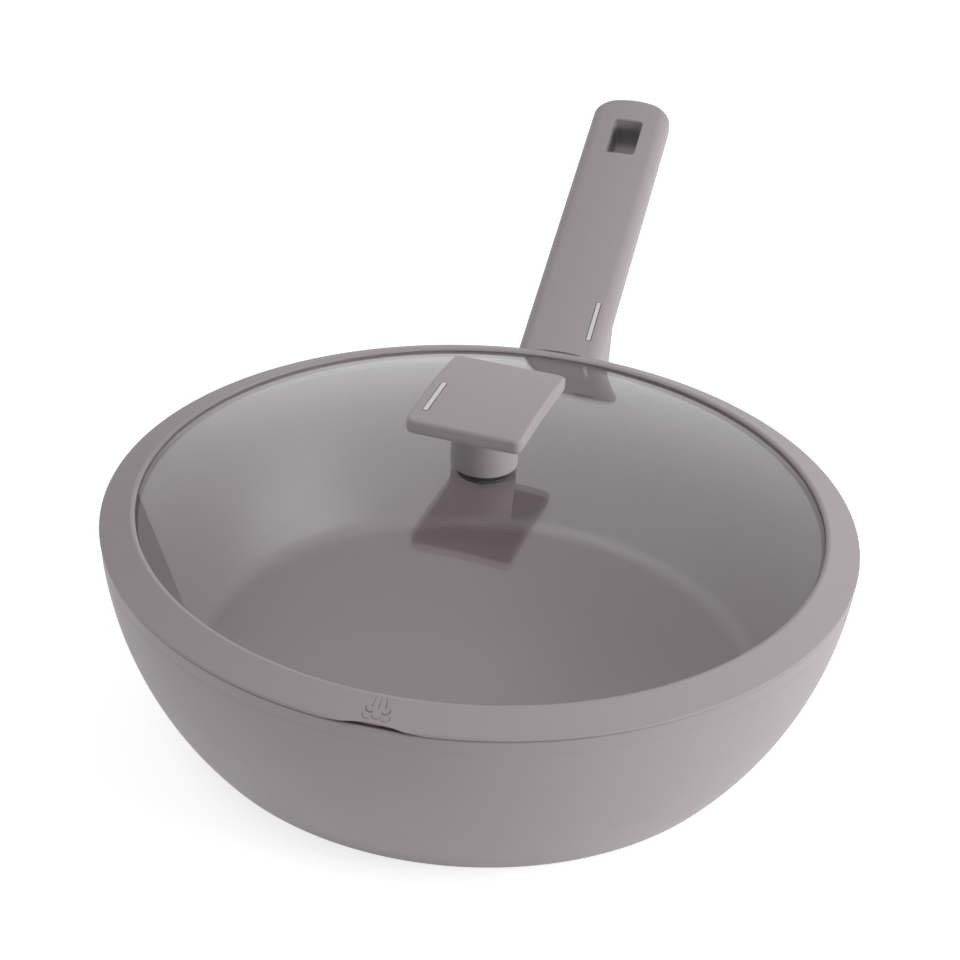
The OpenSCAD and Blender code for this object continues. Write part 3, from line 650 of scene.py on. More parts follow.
def moulded_silicone(name, colour, rough):
    """Silicone rubber from a sand-blasted mould: matt, with a faint bloom."""
    material, nodes, shader, place = new_material(name, {"IOR": 1.43})
    tinted(nodes, place, shader, colour, 9, 0.015, rough)
    # The mould's blasted texture is about 0.4 mm
    grained(nodes, place, shader, 0.4, 0.012, 0.3)
    return material


def tempered_glass(colour):
    """Clear tempered soda-lime glass: lamps shine through it on what lies below."""
    material, nodes, shader, _ = new_material("Clear tempered glass", {
        "Base Color": linear(colour), "Roughness": 0.0, "IOR": 1.5, "Transmission Weight": 1.0})
    path = add(nodes, "ShaderNodeLightPath")
    clear = add(nodes, "ShaderNodeBsdfTransparent", {"Color": linear("#EEF0F0")})
    both = add(nodes, "ShaderNodeMixShader", {0: path.outputs["Is Shadow Ray"], 1: shader, 2: clear})
    feed(nodes["Material Output"], "Surface", both.outputs[0])
    return material


def worked_metal(name, colour, rough, scratch_mm, stretch, height_mm):
    """Bare metal with the fine lines that its last working left, stretched along one axis."""
    material, nodes, shader, place = new_material(name, {"Metallic": 1.0})
    tinted(nodes, place, shader, colour, 6, 0.03, rough)
    along = add(nodes, "ShaderNodeMapping", {"Vector": place, "Scale": stretch})
    grained(nodes, along, shader, scratch_mm, height_mm, 0.4, 3.0, 0.6)
    return material


def spun_steel(colour):
    """Magnetic stainless steel faced on a lathe: fine rings about the axis."""
    material, nodes, shader, place = new_material("Spun stainless steel", {"Metallic": 1.0})
    tinted(nodes, place, shader, colour, 15, 0.03, (0.3, 0.4))
    split = add(nodes, "ShaderNodeSeparateXYZ", {0: place})
    x, y = [add(nodes, "ShaderNodeMath", {0: split.outputs[k], 1: 2.0}, operation="POWER") for k in (0, 1)]
    total = add(nodes, "ShaderNodeMath", {0: x, 1: y}, operation="ADD")
    radius = add(nodes, "ShaderNodeMath", {0: total}, operation="SQRT")
    # The facing tool moves on 0.4 mm a turn
    phase = add(nodes, "ShaderNodeMath", {0: radius, 1: FULL_TURN / (0.4 * MM)}, operation="MULTIPLY")
    rings = add(nodes, "ShaderNodeMath", {0: phase}, operation="SINE")
    bump = add(nodes, "ShaderNodeBump", {"Height": rings, "Strength": 0.3, "Distance": 0.01 * MM})
    feed(shader, "Normal", bump.outputs[0])
    return material


MATERIALS = {}


def make_materials(colours):
    steel = colours.steel
    MATERIALS.update({
        "lacquer": lacquered_aluminium(colours.lacquer),
        "coating": nonstick_coating(colours.coating),
        "soft_touch": soft_touch_phenolic(colours.soft_touch),
        "silicone": moulded_silicone("Taupe silicone", colours.silicone, (0.55, 0.65)),
        "gasket": moulded_silicone("Black silicone", colours.gasket, (0.5, 0.6)),
        "glass": tempered_glass(colours.glass),
        "strip": worked_metal("Brushed bright steel", steel, (0.24, 0.34), 0.3, (0.15, 1.0, 1.0), 0.02),
        "steel": worked_metal("Stainless steel screw stock", steel, (0.26, 0.36), 0.4, (1.0, 1.0, 0.2), 0.01),
        "bare": worked_metal("Bare forged aluminium", colours.bare, (0.41, 0.51), 0.8, (1.0, 1.0, 1.0), 0.03),
        "brass": worked_metal("Turned brass", colours.brass, (0.26, 0.36), 0.4, (1.0, 1.0, 0.2), 0.01),
        "disc": spun_steel(steel),
    })


# Operators

class Builder:
    """What every operator of this file shares."""
    bl_options = {"REGISTER", "UNDO"}

    @staticmethod
    def sizes():
        scene = bpy.context.scene
        return scene.wok_sizes, scene.lid_sizes, scene.knob_sizes, scene.grip_sizes

    @staticmethod
    def hand_over(piece, body, node, sharp_degrees=32):
        """Shades a finished piece and rides it on its body, in place of its node."""
        soften(piece, sharp_degrees)
        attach(piece, body)
        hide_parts(node)


class WOK_OT_finishes(Builder, Operator):
    """Makes the materials and gives the small pieces theirs"""
    bl_idname = "wok.finishes"
    bl_label = "Finishes"

    plain = {
        "handle_bracket": "bare", "weld_studs": "bare", "handle_screw": "steel", "handle_washer": "steel",
        "knob_insert": "brass", "knob_screw": "steel",
    }

    def execute(self, context):
        make_materials(context.scene.wok_finishes)
        for node, finish in self.plain.items():
            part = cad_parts[node]
            if not part.material_slots:
                part.data.materials.append(MATERIALS[finish])
            for slot in part.material_slots:
                slot.material = MATERIALS[finish]
        return {"FINISHED"}


class WOK_OT_bowl(Builder, Operator):
    """Turns the bowl, lacquered outside and coated inside"""
    bl_idname = "wok.bowl"
    bl_label = "Bowl and steel disc"

    def execute(self, context):
        s = context.scene.wok_sizes
        bow = Bow(s)
        round_z = s.rim_height - s.rim_round
        band_z = s.rim_height - s.band_height
        seat_r = bow.corner(0, 0, s.base_round)[0] - s.disc_edge + s.disc_gap
        seat_z = s.disc_thick + s.disc_gap
        edge = 0.3 * MM
        ledge = 0.6 * MM
        floor_steps = 4
        outside = [(0.0, seat_z), (seat_r, seat_z), (seat_r, edge), (seat_r + edge, 0.0)]
        outside += bow.line(0, 0, s.base_round, band_z)
        outside += arc((bow.x, bow.z), s.bow_radius - s.band_step, bow.angle_at(s.band_step, band_z + ledge),
                       bow.angle_at(s.band_step, round_z), 8)
        outside += quarter((bow.radius_at(s.band_step + s.rim_round, round_z), round_z), s.rim_round, 0)
        inside = quarter((bow.radius_at(s.wall - s.rim_round, round_z), round_z), s.rim_round, 1)
        inside += bow.line(s.wall, s.floor, s.floor_round, round_z - s.band_step)[::-1]
        inside += [(inside[-1][0] * i / floor_steps, s.floor) for i in reversed(range(floor_steps))]
        bowl = turned("bowl", outside + inside, MATERIALS["lacquer"], s.segments, MATERIALS["coating"],
                      len(outside) - 1)
        self.hand_over(bowl, "wok", "wok_body")

        disc_r = seat_r - s.disc_gap
        section = [(0.0, 0.0), (disc_r - edge, 0.0), (disc_r, edge)]
        section += [(disc_r, s.disc_thick), (0.0, s.disc_thick)]
        disc = turned("base_disc", section, MATERIALS["disc"], s.segments)
        self.hand_over(disc, "wok", "induction_disc")
        return {"FINISHED"}


class WOK_OT_glass(Builder, Operator):
    """Turns the domed glass with its ground edge"""
    bl_idname = "wok.glass"
    bl_label = "Lid glass"

    def execute(self, context):
        wok, lid, knob, _ = self.sizes()
        g = Lid(wok, lid, knob)
        steps = 96
        ground = 1.2 * MM
        under = [lid.hole + (g.glass_r - ground - lid.hole) * i / steps for i in range(steps + 1)]
        section = [(r, g.inner(r, lid.glass)) for r in under]
        low = (g.glass_r - ground, g.inner(g.glass_r - ground, lid.glass) + ground)
        high = (g.glass_r - ground, g.outer(g.glass_r - ground) - ground)
        section += quarter(low, ground, 3, 6)[1:] + quarter(high, ground, 0, 6)
        section += [(r, g.outer(r)) for r in under[::-1][1:]]
        section.append(section[0])
        glass = turned("glass_dome", section, MATERIALS["glass"], wok.segments)
        self.hand_over(glass, "lid", "lid_glass")
        return {"FINISHED"}


class WOK_OT_rim(Builder, Operator):
    """Makes the soft rim of the lid with its vents and steam marks"""
    bl_idname = "wok.rim"
    bl_label = "Lid rim"

    # Radius that is left to the outer bead over a vent, and thickness left to the lower lip there
    least_bead = 0.15 * MM
    least_lip = 0.6 * MM
    # How much wider than high the inner lip's rounding is, and where it ends, just past its inmost point
    lip_width_share = 1.6
    lip_end = 1.05 * math.pi
    slope_steps = 80
    lip_steps = 14

    def section(self, g, lid, y):
        """Outline of the soft rim at a distance y from a vent's middle, with close steps on its slope."""
        steep, flat = math.tan(lid.slope), math.cos(lid.slope)
        vault = g.seat + lid.vent_height * (1 - (2 * y / lid.vent_width) ** 2)
        seat = max(vault, g.seat)
        # The vent's arch lifts the bead and thins it, and the slope above it stays where it is
        bead = max(lid.bead - (seat - g.seat) / (1 + 1 / flat - steep), self.least_bead)
        drop = g.bead_z + lid.bead / flat - seat - bead - bead / flat
        middle = (g.ring_r - lid.bead + drop / steep, seat + bead)
        lower_r = g.in_r + lid.lower_back
        chamfer = lid.plug / 5
        groove_low = g.inner(lower_r, lid.glass) - lid.glass_gap
        low = [(lower_r, g.plug_z + lid.plug / 2), (lower_r + 2 * chamfer, g.plug_z)]
        points = [(lower_r, groove_low)]
        points += [(r, min(max(z, vault), groove_low - self.least_lip)) for r, z in low]
        plug = [(g.plug_r - chamfer, g.plug_z), (g.plug_r, g.plug_z + chamfer), (g.plug_r, g.seat)]
        points += [(r, max(z, vault)) for r, z in plug]
        points += arc(middle, bead, -math.pi / 2, math.pi / 2 - lid.slope, 16)
        # The slope runs up to a broad soft lip, which is lower than it is wide
        lip_w = self.lip_width_share * lid.lip
        lip = (g.in_r + lip_w, g.in_z - lid.lip)
        start = points[-1]
        turn = math.pi / 2 - lid.slope
        end = (lip[0] + lip_w * math.cos(turn), lip[1] + lid.lip * math.sin(turn))
        steps = self.slope_steps
        points += [(start[0] + (end[0] - start[0]) * i / steps, start[1] + (end[1] - start[1]) * i / steps)
                   for i in range(1, steps)]
        points += [(lip[0] + lip_w * x, lip[1] + lid.lip * z)
                   for x, z in arc((0, 0), 1, turn, self.lip_end, self.lip_steps)]
        # Below the lip the wall leans back over the glass, down to the top of the glass's groove
        back = lid.lip
        return points + [
            (g.in_r + back, g.outer(g.in_r + back) + lid.glass_gap),
            (g.glass_r + lid.glass_gap, g.outer(g.glass_r) + lid.glass_gap),
            (g.glass_r + lid.glass_gap, g.inner(g.glass_r, lid.glass) - lid.glass_gap)]

    def stations(self, lid, mid_r):
        """Angles round the rim, close together at the marks and the vents."""
        whole = 240
        least = 0.0006
        # How far a mark and a vent reach to each side of their middle, with the steps on that way
        close = ((lid.mark_length * 1.3 / mid_r, 48), (lid.vent_width * 0.55 / mid_r, 28))
        angles = {round(FULL_TURN * i / whole, 6) for i in range(whole)}
        for turn in (0.0, math.pi):
            for reach, steps in close:
                for i in range(-steps, steps + 1):
                    angles.add(round((turn + reach * i / steps) % FULL_TURN, 6))
        return thinned(angles, least)

    def stamp(self, lid, mid_r, mid_z):
        """Lines of the steam mark: three lines over two rows of waves, on the slope of the rim."""
        line_pitch = 1.3 * lid.mark_wave
        wave_pitch = 1.55 * lid.mark_wave
        row_pitch = 3.2 * lid.mark_line
        spread_share = 0.2
        fan = math.radians(9)
        wave_fan = math.radians(32)
        wave_end = math.radians(24.8)
        half = (lid.mark_length - lid.mark_line) / 2
        strokes = []
        for i in (-1, 0, 1):
            lean = (math.sin(-fan * i), math.cos(fan * i))
            middle = (i * line_pitch, (lid.mark_length + abs(i) * lid.mark_line) / 2)
            strokes.append([(middle[0] + side * half * lean[0], middle[1] + side * half * lean[1])
                            for side in (-1, 1)])
        for row in (0, 1):
            for i in (-1, 0, 1):
                if row == 1 or i != 0:
                    middle = (i * wave_pitch * (1 + row * spread_share),
                              (1 - abs(i)) * lid.mark_line / 2 - row * row_pitch)
                    strokes.append(arc(middle, lid.mark_wave, math.pi + wave_end + wave_fan * i,
                                       FULL_TURN - wave_end + wave_fan * i, 16))
        points, edges = [], []
        for stroke in strokes:
            edges += [(len(points) + i, len(points) + i + 1) for i in range(len(stroke) - 1)]
            points += [(-y, x, 0.0) for x, y in stroke]
        mesh = bpy.data.meshes.new("stamp")
        mesh.from_pydata(points, edges, [])
        mesh.transform(Matrix.Translation((mid_r, 0, mid_z)) @ Matrix.Rotation(lid.slope, 4, "Y"))
        stamp = bpy.data.objects.new("stamp", mesh)
        bpy.context.scene.collection.objects.link(stamp)
        return stamp

    def execute(self, context):
        wok, lid, knob, _ = self.sizes()
        g = Lid(wok, lid, knob)
        mid_r = g.ring_r - lid.width / 2
        mid_z = g.in_z - (lid.width / 2 - lid.lip) * math.tan(lid.slope)
        angles = self.stations(lid, mid_r)
        sections = [self.section(g, lid, g.ring_r * math.sin(a)) for a in angles]
        points = [(r * math.cos(a), r * math.sin(a), z) for a, row in zip(angles, sections) for r, z in row]
        count = len(sections[0])
        faces = []
        for k in range(len(angles)):
            after = (k + 1) % len(angles)
            for i in range(count):
                j = (i + 1) % count
                faces.append((k * count + i, after * count + i, after * count + j, k * count + j))
        rim = new_piece("soft_rim", points, faces)
        face_outwards(rim)
        rim.data.shade_smooth()
        stamp = self.stamp(lid, mid_r, mid_z)
        tree, sockets = pressing_tree()
        run_tree(rim, tree, sockets, {
            "Stamp": stamp, "Count": 2, "Line": lid.mark_line, "Depth": lid.mark_depth,
            "Material": MATERIALS["silicone"]})
        bpy.data.node_groups.remove(tree)
        bpy.data.objects.remove(stamp)
        placed(rim, Matrix.Rotation(lid.turn, 4, "Z"))
        self.hand_over(rim, "lid", "lid_ring", 40)
        return {"FINISHED"}


def strip_outline(strip_length, grip, grow, least=0.0):
    """Outline of a bright strip grown all round, with a least radius at its corners."""
    corner = max(grip.strip_width / 5 + grow, least)
    return rounded_box(strip_length / 2 + grow, grip.strip_width / 2 + grow, corner, 6)


def strip_groove(strip_length, grip, deep):
    """Cutter for the groove of a bright strip, with the gap round it, centred on the origin."""
    outline = strip_outline(strip_length, grip, grip.strip_gap)
    return loft("groove", [[(x, y, z) for x, y in outline] for z in (-deep, deep)])


def bright_strip(name, strip_length, grip, matrix):
    """Strip of bright steel with softened edges, a hair proud of the coat round it."""
    soft = 0.2 * MM
    near = 0.3 * soft
    proud = grip.strip_gap / 2
    levels = ((0.0, proud - grip.strip_deep), (0.0, proud - soft), (near, proud - near), (soft, proud))
    rings = []
    for inset, z in levels:
        outline = strip_outline(strip_length, grip, -inset, soft / 2)
        rings.append([(x, y, z) for x, y in outline])
    return placed(loft(name, rings, MATERIALS["strip"]), matrix)


class WOK_OT_knob(Builder, Operator):
    """Makes the paddle knob with its stem and its bright strip"""
    bl_idname = "wok.knob"
    bl_label = "Knob"

    # Arch of the underside as a share of the top's, and share of an inset that the corners' radius gives up
    under_share = 0.5
    corner_share = 0.6
    stem_segments = 128

    def lift(self, x, s):
        return s.arch * (1 - (2 * x / s.length) ** 2)

    def paddle(self, s):
        """Arched plate with round edges, as rings from the middle of its underside to that of its top."""
        steps = 10
        caps = 12

        def ring(inset, level, from_top, share=1.0):
            corner = s.corner - inset * self.corner_share
            points = []
            for x, y in rounded_box(s.length / 2 - inset, s.width / 2 - inset, corner, 10, 18):
                x, y = x * share, y * share
                base = self.lift(x, s) + s.thick if from_top else self.lift(x, s) * self.under_share
                points.append((x, y, base + level))
            return points

        turns = [math.pi / 2 * i / steps for i in range(steps + 1)]
        rings = [ring(s.under_edge, 0.0, False, i / caps) for i in range(1, caps)]
        rings += [ring(s.under_edge * (1 - math.sin(t)), s.under_edge * (1 - math.cos(t)), False)
                  for t in turns]
        rings += [ring(s.edge * (1 - math.cos(t)), s.edge * (math.sin(t) - 1), True) for t in turns]
        rings += [ring(s.edge, 0.0, True, 1 - i / caps) for i in range(1, caps)]
        return loft("paddle", rings, MATERIALS["soft_touch"])

    def stem(self, s):
        """Stem with its insert's hole, from below the paddle up into it."""
        soft = 0.5 * MM
        top = s.stem_height + s.thick / 2
        hole = s.insert + s.fit
        section = [(0.0, s.insert_length), (hole, s.insert_length), (hole, 0.0)]
        section += quarter((s.stem_radius - soft, soft), soft, 3, 5)
        section += [(s.stem_radius, top), (0.0, top)]
        return turned("stem", section, MATERIALS["soft_touch"], self.stem_segments)

    def execute(self, context):
        wok, lid, s, grip = self.sizes()
        g = Lid(wok, lid, s)
        knob = placed(self.paddle(s), Matrix.Translation((0, 0, s.stem_height)))
        carve(knob, [self.stem(s)], "UNION")
        strip_x = s.strip_front + s.strip_length / 2 - s.length / 2
        strip_y = s.width / 2 - s.strip_in
        lean = math.atan(8 * s.arch * strip_x / s.length ** 2)
        on_top = Matrix.Translation((strip_x, strip_y, s.stem_height + s.thick + self.lift(strip_x, s)))
        on_top = on_top @ Matrix.Rotation(lean, 4, "Y")
        sink = s.arch * (s.strip_length / s.length) ** 2 / 2
        carve(knob, [placed(strip_groove(s.strip_length, grip, grip.strip_deep + sink), on_top)])
        place = Matrix.Rotation(lid.turn + s.turn, 4, "Z") @ Matrix.Translation((0, 0, g.stem))
        placed(knob, place)
        knob.name = "paddle_knob"
        self.hand_over(knob, "lid", "knob_grip")
        on_knob = place @ on_top @ Matrix.Translation((0, 0, -sink))
        strip = bright_strip("knob_bright_strip", s.strip_length, grip, on_knob)
        self.hand_over(strip, "lid", "knob_strip")
        return {"FINISHED"}


class WOK_OT_knob_fixing(Builder, Operator):
    """Turns the gaskets and the cup washer that hold the knob on the glass"""
    bl_idname = "wok.knob_fixing"
    bl_label = "Gaskets and washer"

    def section(self, first, radius, low, high):
        """Section from its first points to a softly edged outer face and back along the bore."""
        soft = 0.3 * MM
        face = quarter((radius - soft, low + soft), soft, 3, 4)
        face += quarter((radius - soft, high - soft), soft, 0, 4)
        return first + face + [(first[0][0], high), first[0]]

    def execute(self, context):
        wok, lid, s, _ = self.sizes()
        g = Lid(wok, lid, s)
        bore = s.screw + s.fit
        neck = lid.hole - s.fit
        neck_z = g.apex - lid.glass / 2
        foot = g.outer(s.gasket_radius) + s.fit
        top = g.inner(s.under_radius, lid.glass) - s.fit
        low = g.cup + s.cup
        collar = [(bore, neck_z), (neck, neck_z), (neck, g.apex + s.fit)]
        rings = (
            ("stem_gasket", "gasket", "knob_gasket", self.section(collar, s.gasket_radius, foot, g.stem)),
            ("lower_gasket", "gasket", "under_gasket", self.section([(bore, low)], s.under_radius, low, top)),
            ("steel_washer", "steel", "cup_washer", self.section([(bore, g.cup)], s.cup_radius, g.cup, low)),
        )
        for name, finish, node, section in rings:
            self.hand_over(turned(name, section, MATERIALS[finish], SMALL_SEGMENTS), "lid", node)
        return {"FINISHED"}


class WOK_OT_grip(Builder, Operator):
    """Makes the grip with its deep root, its hanging hole and its bright strip"""
    bl_idname = "wok.grip"
    bl_label = "Grip"

    end_power = 2.1
    # Most that an edge's radius may take of half the width or half the thickness
    edge_share = 0.98
    # Where the round edge of the hanging hole gives way to the grip's face, as a turn from the hole's wall
    mouth_turn = math.radians(75)
    mouth_steps = 8

    def top(self, x, s, wok):
        return wok.rim_height + s.root_up + (x - wok.rim_radius) * math.tan(s.rise)

    def under(self, x, s, wok):
        line = self.top(x, s, wok) - s.thick / math.cos(s.rise)
        return line + (s.root_low - line) * smooth_step((self.knee(s, wok) - x) / s.root_step)

    def knee(self, s, wok):
        """Distance from the axis at which the underside starts to turn down to the root."""
        return wok.rim_radius + s.root_length + s.thick * math.tan(s.rise) / 2

    def ring(self, x, s, wok):
        """Section of the grip, which turns from upright at the root to square to the slope."""
        e = s.tip - x
        from_end = smooth_step(e / s.end_bow)
        at_root = smooth_step((self.knee(s, wok) - x) / s.root_step)
        long_edge = s.low_edge + (s.root_edge - s.low_edge) * at_root
        top_edge = s.end_edge + (s.top_edge - s.end_edge) * from_end
        low_edge = s.end_low + (long_edge - s.end_low) * from_end
        a = s.width / 2 * share_left(e, s.end_bow, self.end_power)
        top = self.top(x, s, wok) - s.end_edge * (1 - share_left(e, s.end_edge, 2))
        under = self.under(x, s, wok) + s.end_low * (1 - share_left(e, s.end_low, 2))
        b = (top - under) / 2
        most = self.edge_share * min(a, b)
        square = math.sin(s.rise) * math.cos(s.rise) * smooth_step((x - self.knee(s, wok)) / s.root_length)
        points = []
        for y, z in rounded_box(a, b, min(top_edge, most), 12, 24, min(low_edge, most)):
            level = (top + under) / 2 + z - (s.crown * (y / a) ** 2 if z > 0 else 0.0)
            shift = (self.top(x, s, wok) - level) * square
            points.append((x + shift, y, level + shift * math.tan(s.rise)))
        return points

    def stations(self, s, wok, start):
        """Distances of the grip's sections, close together at the knee and towards the tip."""
        step = 2 * MM
        knee_steps = 16
        ends = 40
        stop = s.tip - s.end_bow
        count = int((stop - start) / step)
        straight = [start + (stop - start) * i / count for i in range(count)]
        straight += [self.knee(s, wok) - s.root_step * i / knee_steps for i in range(knee_steps + 1)]
        straight = [x for x in straight if x < stop - step / 4]
        curve = [s.tip - s.end_bow * (1 - i / ends) ** 2 for i in range(ends)]
        return thinned(straight, step / 5) + curve + [s.tip - s.end_bow / (2 * ends) ** 2]

    def hole(self, s, matrix, material):
        """Cutter for the hanging hole: a little narrower below, with soft edges at both of its mouths."""
        lean = s.hole_draft / s.thick
        reach = 2 * MM
        mouth = []
        for i in range(self.mouth_steps + 1):
            t = self.mouth_turn * i / self.mouth_steps
            mouth.append((s.hole_break * (1 - math.cos(t)), s.hole_break * (1 - math.sin(t))))
        grow, deep = mouth[-1]
        mouth.append((grow + reach * math.sin(self.mouth_turn), deep - reach * math.cos(self.mouth_turn)))
        levels = [(grow - s.hole_draft + lean * deep, deep - s.thick) for grow, deep in reversed(mouth)]
        levels += [(grow - lean * deep, -deep) for grow, deep in mouth]
        rings = []
        for grow, z in levels:
            corner = s.hole_round + max(grow, 0.0)
            outline = rounded_box(s.hole_length / 2 + grow, s.hole_width / 2 + grow, corner)
            rings.append([(x, y, z) for x, y in outline])
        return placed(loft("hole", rings, material), matrix)

    def execute(self, context):
        wok, lid, knob, s = self.sizes()
        g = Lid(wok, lid, knob)
        bow = Bow(wok)
        over = 2 * MM
        start = bow.radius_at(0, s.root_low) - wok.wall - over
        grip = loft("grip", [self.ring(x, s, wok) for x in self.stations(s, wok, start)],
                    MATERIALS["soft_touch"])
        # The wok's wall, grown by the gap, and the room for the lid over it
        wall = bow.line(-s.wall_gap, -s.wall_gap, wok.base_round, wok.rim_height)
        pan = turned("pan", [(0.0, wall[0][1])] + wall + [(0.0, wok.rim_height)], None, wok.segments)
        cover_r = g.ring_r + s.lid_gap
        low, high = wok.rim_height - s.lid_gap, g.in_z + over
        room = [(0.0, low), (cover_r, low), (cover_r, high), (0.0, high)]
        cover = turned("cover", room, None, wok.segments)

        def on_grip(x, y):
            sink = s.crown * (2 * y / s.width) ** 2
            place = Matrix.Translation((x, y, self.top(x, s, wok) - sink))
            return place @ Matrix.Rotation(-s.rise, 4, "Y")

        on_hole = on_grip(s.tip - s.hole_inset - s.hole_length * math.cos(s.rise) / 2, 0.0)
        colours = context.scene.wok_finishes
        # The hole's wall takes a colour that darkens with depth: painted shade over the bare phenolic
        inside = hole_wall_with_painted_shade(colours.soft_touch, colours.phenolic, on_hole.translation, s.rise, s.thick)
        strip_x = wok.rim_radius + s.strip_from_rim + s.strip_length * math.cos(s.rise) / 2
        on_strip = on_grip(strip_x, -s.strip_side)
        groove = placed(strip_groove(s.strip_length, s, s.strip_deep), on_strip)
        carve(grip, [pan, cover, self.hole(s, on_hole, inside), groove])
        self.hand_over(grip, "wok", "handle_grip")
        strip = bright_strip("grip_bright_strip", s.strip_length, s, on_strip)
        self.hand_over(strip, "wok", "handle_strip")
        return {"FINISHED"}


def direction(azimuth, elevation):
    """Unit vector towards an angle about the Z axis and an angle above level."""
    return Vector((math.cos(azimuth) * math.cos(elevation), math.sin(azimuth) * math.cos(elevation),
                   math.sin(elevation)))


class WOK_OT_stage(Builder, Operator):
    """Sets the floor, the soft light and the camera"""
    bl_idname = "wok.stage"
    bl_label = "Stage"

    frame_px = 960
    sensor_mm = 36.0
    # The camera's distance counts from this far above the middle of the rim
    aim_above_rim = 1.2 * MM
    # Each softbox: degrees to the right of the view, degrees up, width and height in metres
    boxes = {
        "right": (108, 22, 1.0, 0.9),
        "left": (-108, 62, 1.0, 0.7),
    }
    box_distance = 1.6
    # The even light dims between these two, as cosines of the angle to the camera's side
    dim_from = -0.3
    dim_to = 0.8
    # Paper as it reflects light on the wok, and as camera, mirrors and glass show it
    paper = "#EDEDED"
    shown_paper = "#BCBCBC"
    shown_glow = 0.74

    def camera(self, context, s, middle):
        """Camera at the photograph's angle, turned so that the middle of the rim lands on its pixel."""
        away = direction(s.azimuth, s.elevation)
        forward = -away
        right = forward.cross(Vector((0, 0, 1))).normalized()
        up = right.cross(forward)
        level = Matrix((right, up, forward))
        focus = s.lens / self.sensor_mm * self.frame_px
        aim_x = (s.aim_x - self.frame_px / 2) / focus
        aim_y = (self.frame_px / 2 - s.aim_y) / focus
        aim = Vector((aim_x, aim_y, 1)).normalized()
        tilt = Vector((0, 0, 1)).rotation_difference(aim).to_matrix()
        rows = tilt @ Matrix.Rotation(s.roll, 3, "Z") @ level
        turned_to = Matrix((rows[0], rows[1], -rows[2])).transposed()
        lens = bpy.data.cameras.new("Camera")
        lens.lens = s.lens
        lens.sensor_width = self.sensor_mm
        lens.clip_start = 0.01
        lens.clip_end = 50
        view = bpy.data.objects.new("Camera", lens)
        context.scene.collection.objects.link(view)
        view.matrix_world = Matrix.Translation(middle + away * s.distance) @ turned_to.to_4x4()
        context.scene.camera = view

    def softbox(self, context, s, middle, side):
        """Flat lamp that faces the wok, placed by its angle to the right of the camera's view."""
        right_of_view, elevation, width, height = self.boxes[side]
        away = direction(s.azimuth + math.pi - math.radians(right_of_view), math.radians(elevation))
        name = side.title() + " softbox"
        lamp = bpy.data.lights.new(name, "AREA")
        lamp.shape = "RECTANGLE"
        lamp.size, lamp.size_y = width, height
        lamp.energy = getattr(s, side)
        box = bpy.data.objects.new(name, lamp)
        box.location = middle + away * self.box_distance
        box.rotation_euler = (-away).to_track_quat("-Z", "Y").to_euler()
        box.visible_camera = False
        context.scene.collection.objects.link(box)

    def card(self, s):
        """Grey card behind the wok on the left, curved about it with a leaning edge. Only mirrors show it."""
        radius, height = 1.5, 2.4
        across, rows = 12, 8
        points = []
        for k in range(rows + 1):
            edge = s.card_from + s.card_lean * k / rows
            for i in range(across + 1):
                t = s.azimuth + math.pi + edge + (s.card_to - edge) * i / across
                points.append((radius * math.cos(t), radius * math.sin(t), height * k / rows))
        faces = []
        for k in range(rows):
            for i in range(k * (across + 1), k * (across + 1) + across):
                faces.append((i, i + 1, i + across + 2, i + across + 1))
        material, nodes = empty_material("Grey card")
        glow = add(nodes, "ShaderNodeEmission", {"Color": WHITE, "Strength": s.card})
        add(nodes, "ShaderNodeOutputMaterial", {"Surface": glow})
        card = new_piece("grey_card", points, faces, material)
        for ray in ("camera", "diffuse", "transmission", "volume_scatter", "shadow"):
            setattr(card, "visible_" + ray, False)

    def world(self, context, s):
        """Even light, dimmer from the camera's side. Camera and glass show plain white instead."""
        world = bpy.data.worlds.new("Studio")
        context.scene.world = world
        world.use_nodes = True
        nodes = world.node_tree.nodes
        nodes.clear()
        place = add(nodes, "ShaderNodeTexCoord")
        front = add(nodes, "ShaderNodeVectorMath", {
            0: place.outputs["Generated"], 1: direction(s.azimuth, 0.0)}, operation="DOT_PRODUCT")
        level = add(nodes, "ShaderNodeMapRange", {
            "Value": front.outputs["Value"], "From Min": self.dim_from, "From Max": self.dim_to,
            "To Min": s.ambient, "To Max": s.front}, interpolation_type="SMOOTHSTEP")
        path = add(nodes, "ShaderNodeLightPath")
        seen = add(nodes, "ShaderNodeMath", {
            0: path.outputs["Is Camera Ray"], 1: path.outputs["Is Transmission Ray"]}, operation="MAXIMUM")
        share = add(nodes, "ShaderNodeMath", {0: level, 1: s.ambient}, operation="DIVIDE")
        even, mirrored, white = [
            add(nodes, "ShaderNodeBackground", {"Color": WHITE, "Strength": strength})
            for strength in (level, share, 1.0)]
        lit = add(nodes, "ShaderNodeMixShader", {0: path.outputs["Is Glossy Ray"], 1: even, 2: mirrored})
        both = add(nodes, "ShaderNodeMixShader", {0: seen, 1: lit, 2: white})
        add(nodes, "ShaderNodeOutputWorld", {"Surface": both})

    def floor(self, s):
        """Pale floor: white paper that keeps half of the object's shadow."""
        material, nodes = empty_material("White paper")

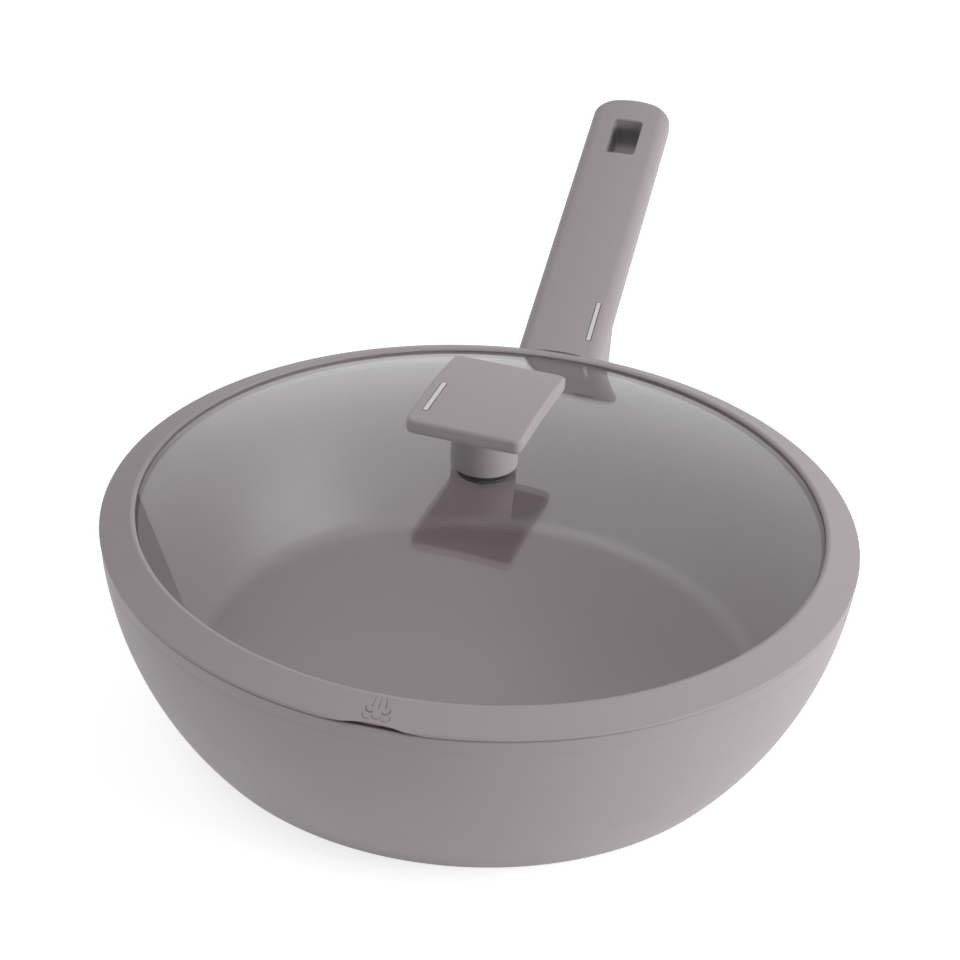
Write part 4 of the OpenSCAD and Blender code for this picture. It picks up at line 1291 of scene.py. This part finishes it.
        def glowing(colour, strength):
            lit = add(nodes, "ShaderNodeBsdfDiffuse", {"Color": linear(colour)})
            bright = add(nodes, "ShaderNodeEmission", {"Color": WHITE, "Strength": strength})
            return add(nodes, "ShaderNodeAddShader", {0: lit, 1: bright})

        path = add(nodes, "ShaderNodeLightPath")
        seen = path.outputs["Is Camera Ray"]
        for kind in ("Is Glossy Ray", "Is Transmission Ray"):
            seen = add(nodes, "ShaderNodeMath", {0: seen, 1: path.outputs[kind]}, operation="MAXIMUM")
        both = add(nodes, "ShaderNodeMixShader", {
            0: seen, 1: glowing(self.paper, s.floor), 2: glowing(self.shown_paper, self.shown_glow)})
        add(nodes, "ShaderNodeOutputMaterial", {"Surface": both})
        half = 6.0
        points = [(-half, -half, 0), (half, -half, 0), (half, half, 0), (-half, half, 0)]
        floor = new_piece("floor", points, [(0, 1, 2, 3)], material)

    def execute(self, context):
        s = context.scene.wok_studio
        middle = Vector((0, 0, context.scene.wok_sizes.rim_height + self.aim_above_rim))
        self.camera(context, s, middle)
        self.world(context, s)
        self.floor(s)
        self.card(s)
        for side in self.boxes:
            self.softbox(context, s, middle, side)
        context.scene.view_settings.view_transform = "Standard"
        return {"FINISHED"}


OPERATORS = (WOK_OT_finishes, WOK_OT_bowl, WOK_OT_glass, WOK_OT_rim, WOK_OT_knob, WOK_OT_knob_fixing,
             WOK_OT_grip, WOK_OT_stage)


class WOK_PT_build(Panel):
    """Lists the steps that build the wok"""
    bl_idname = "WOK_PT_build"
    bl_label = "Wok with lid"
    bl_space_type = "VIEW_3D"
    bl_region_type = "UI"
    bl_category = "Wok"

    def draw(self, context):
        column = self.layout.column(align=True)
        for operator in OPERATORS:
            column.operator(operator.bl_idname)


CLASSES = tuple(GROUPS.values()) + OPERATORS + (WOK_PT_build,)


def register():
    for item in CLASSES:
        bpy.utils.register_class(item)
    for name, group in GROUPS.items():
        setattr(bpy.types.Scene, name, PointerProperty(type=group))


def unregister():
    for name in GROUPS:
        delattr(bpy.types.Scene, name)
    for item in reversed(CLASSES):
        bpy.utils.unregister_class(item)


def main():
    register()
    for operator in OPERATORS:
        group, name = operator.bl_idname.split(".")
        getattr(getattr(bpy.ops, group), name)()


if __name__ == "__main__":
    main()
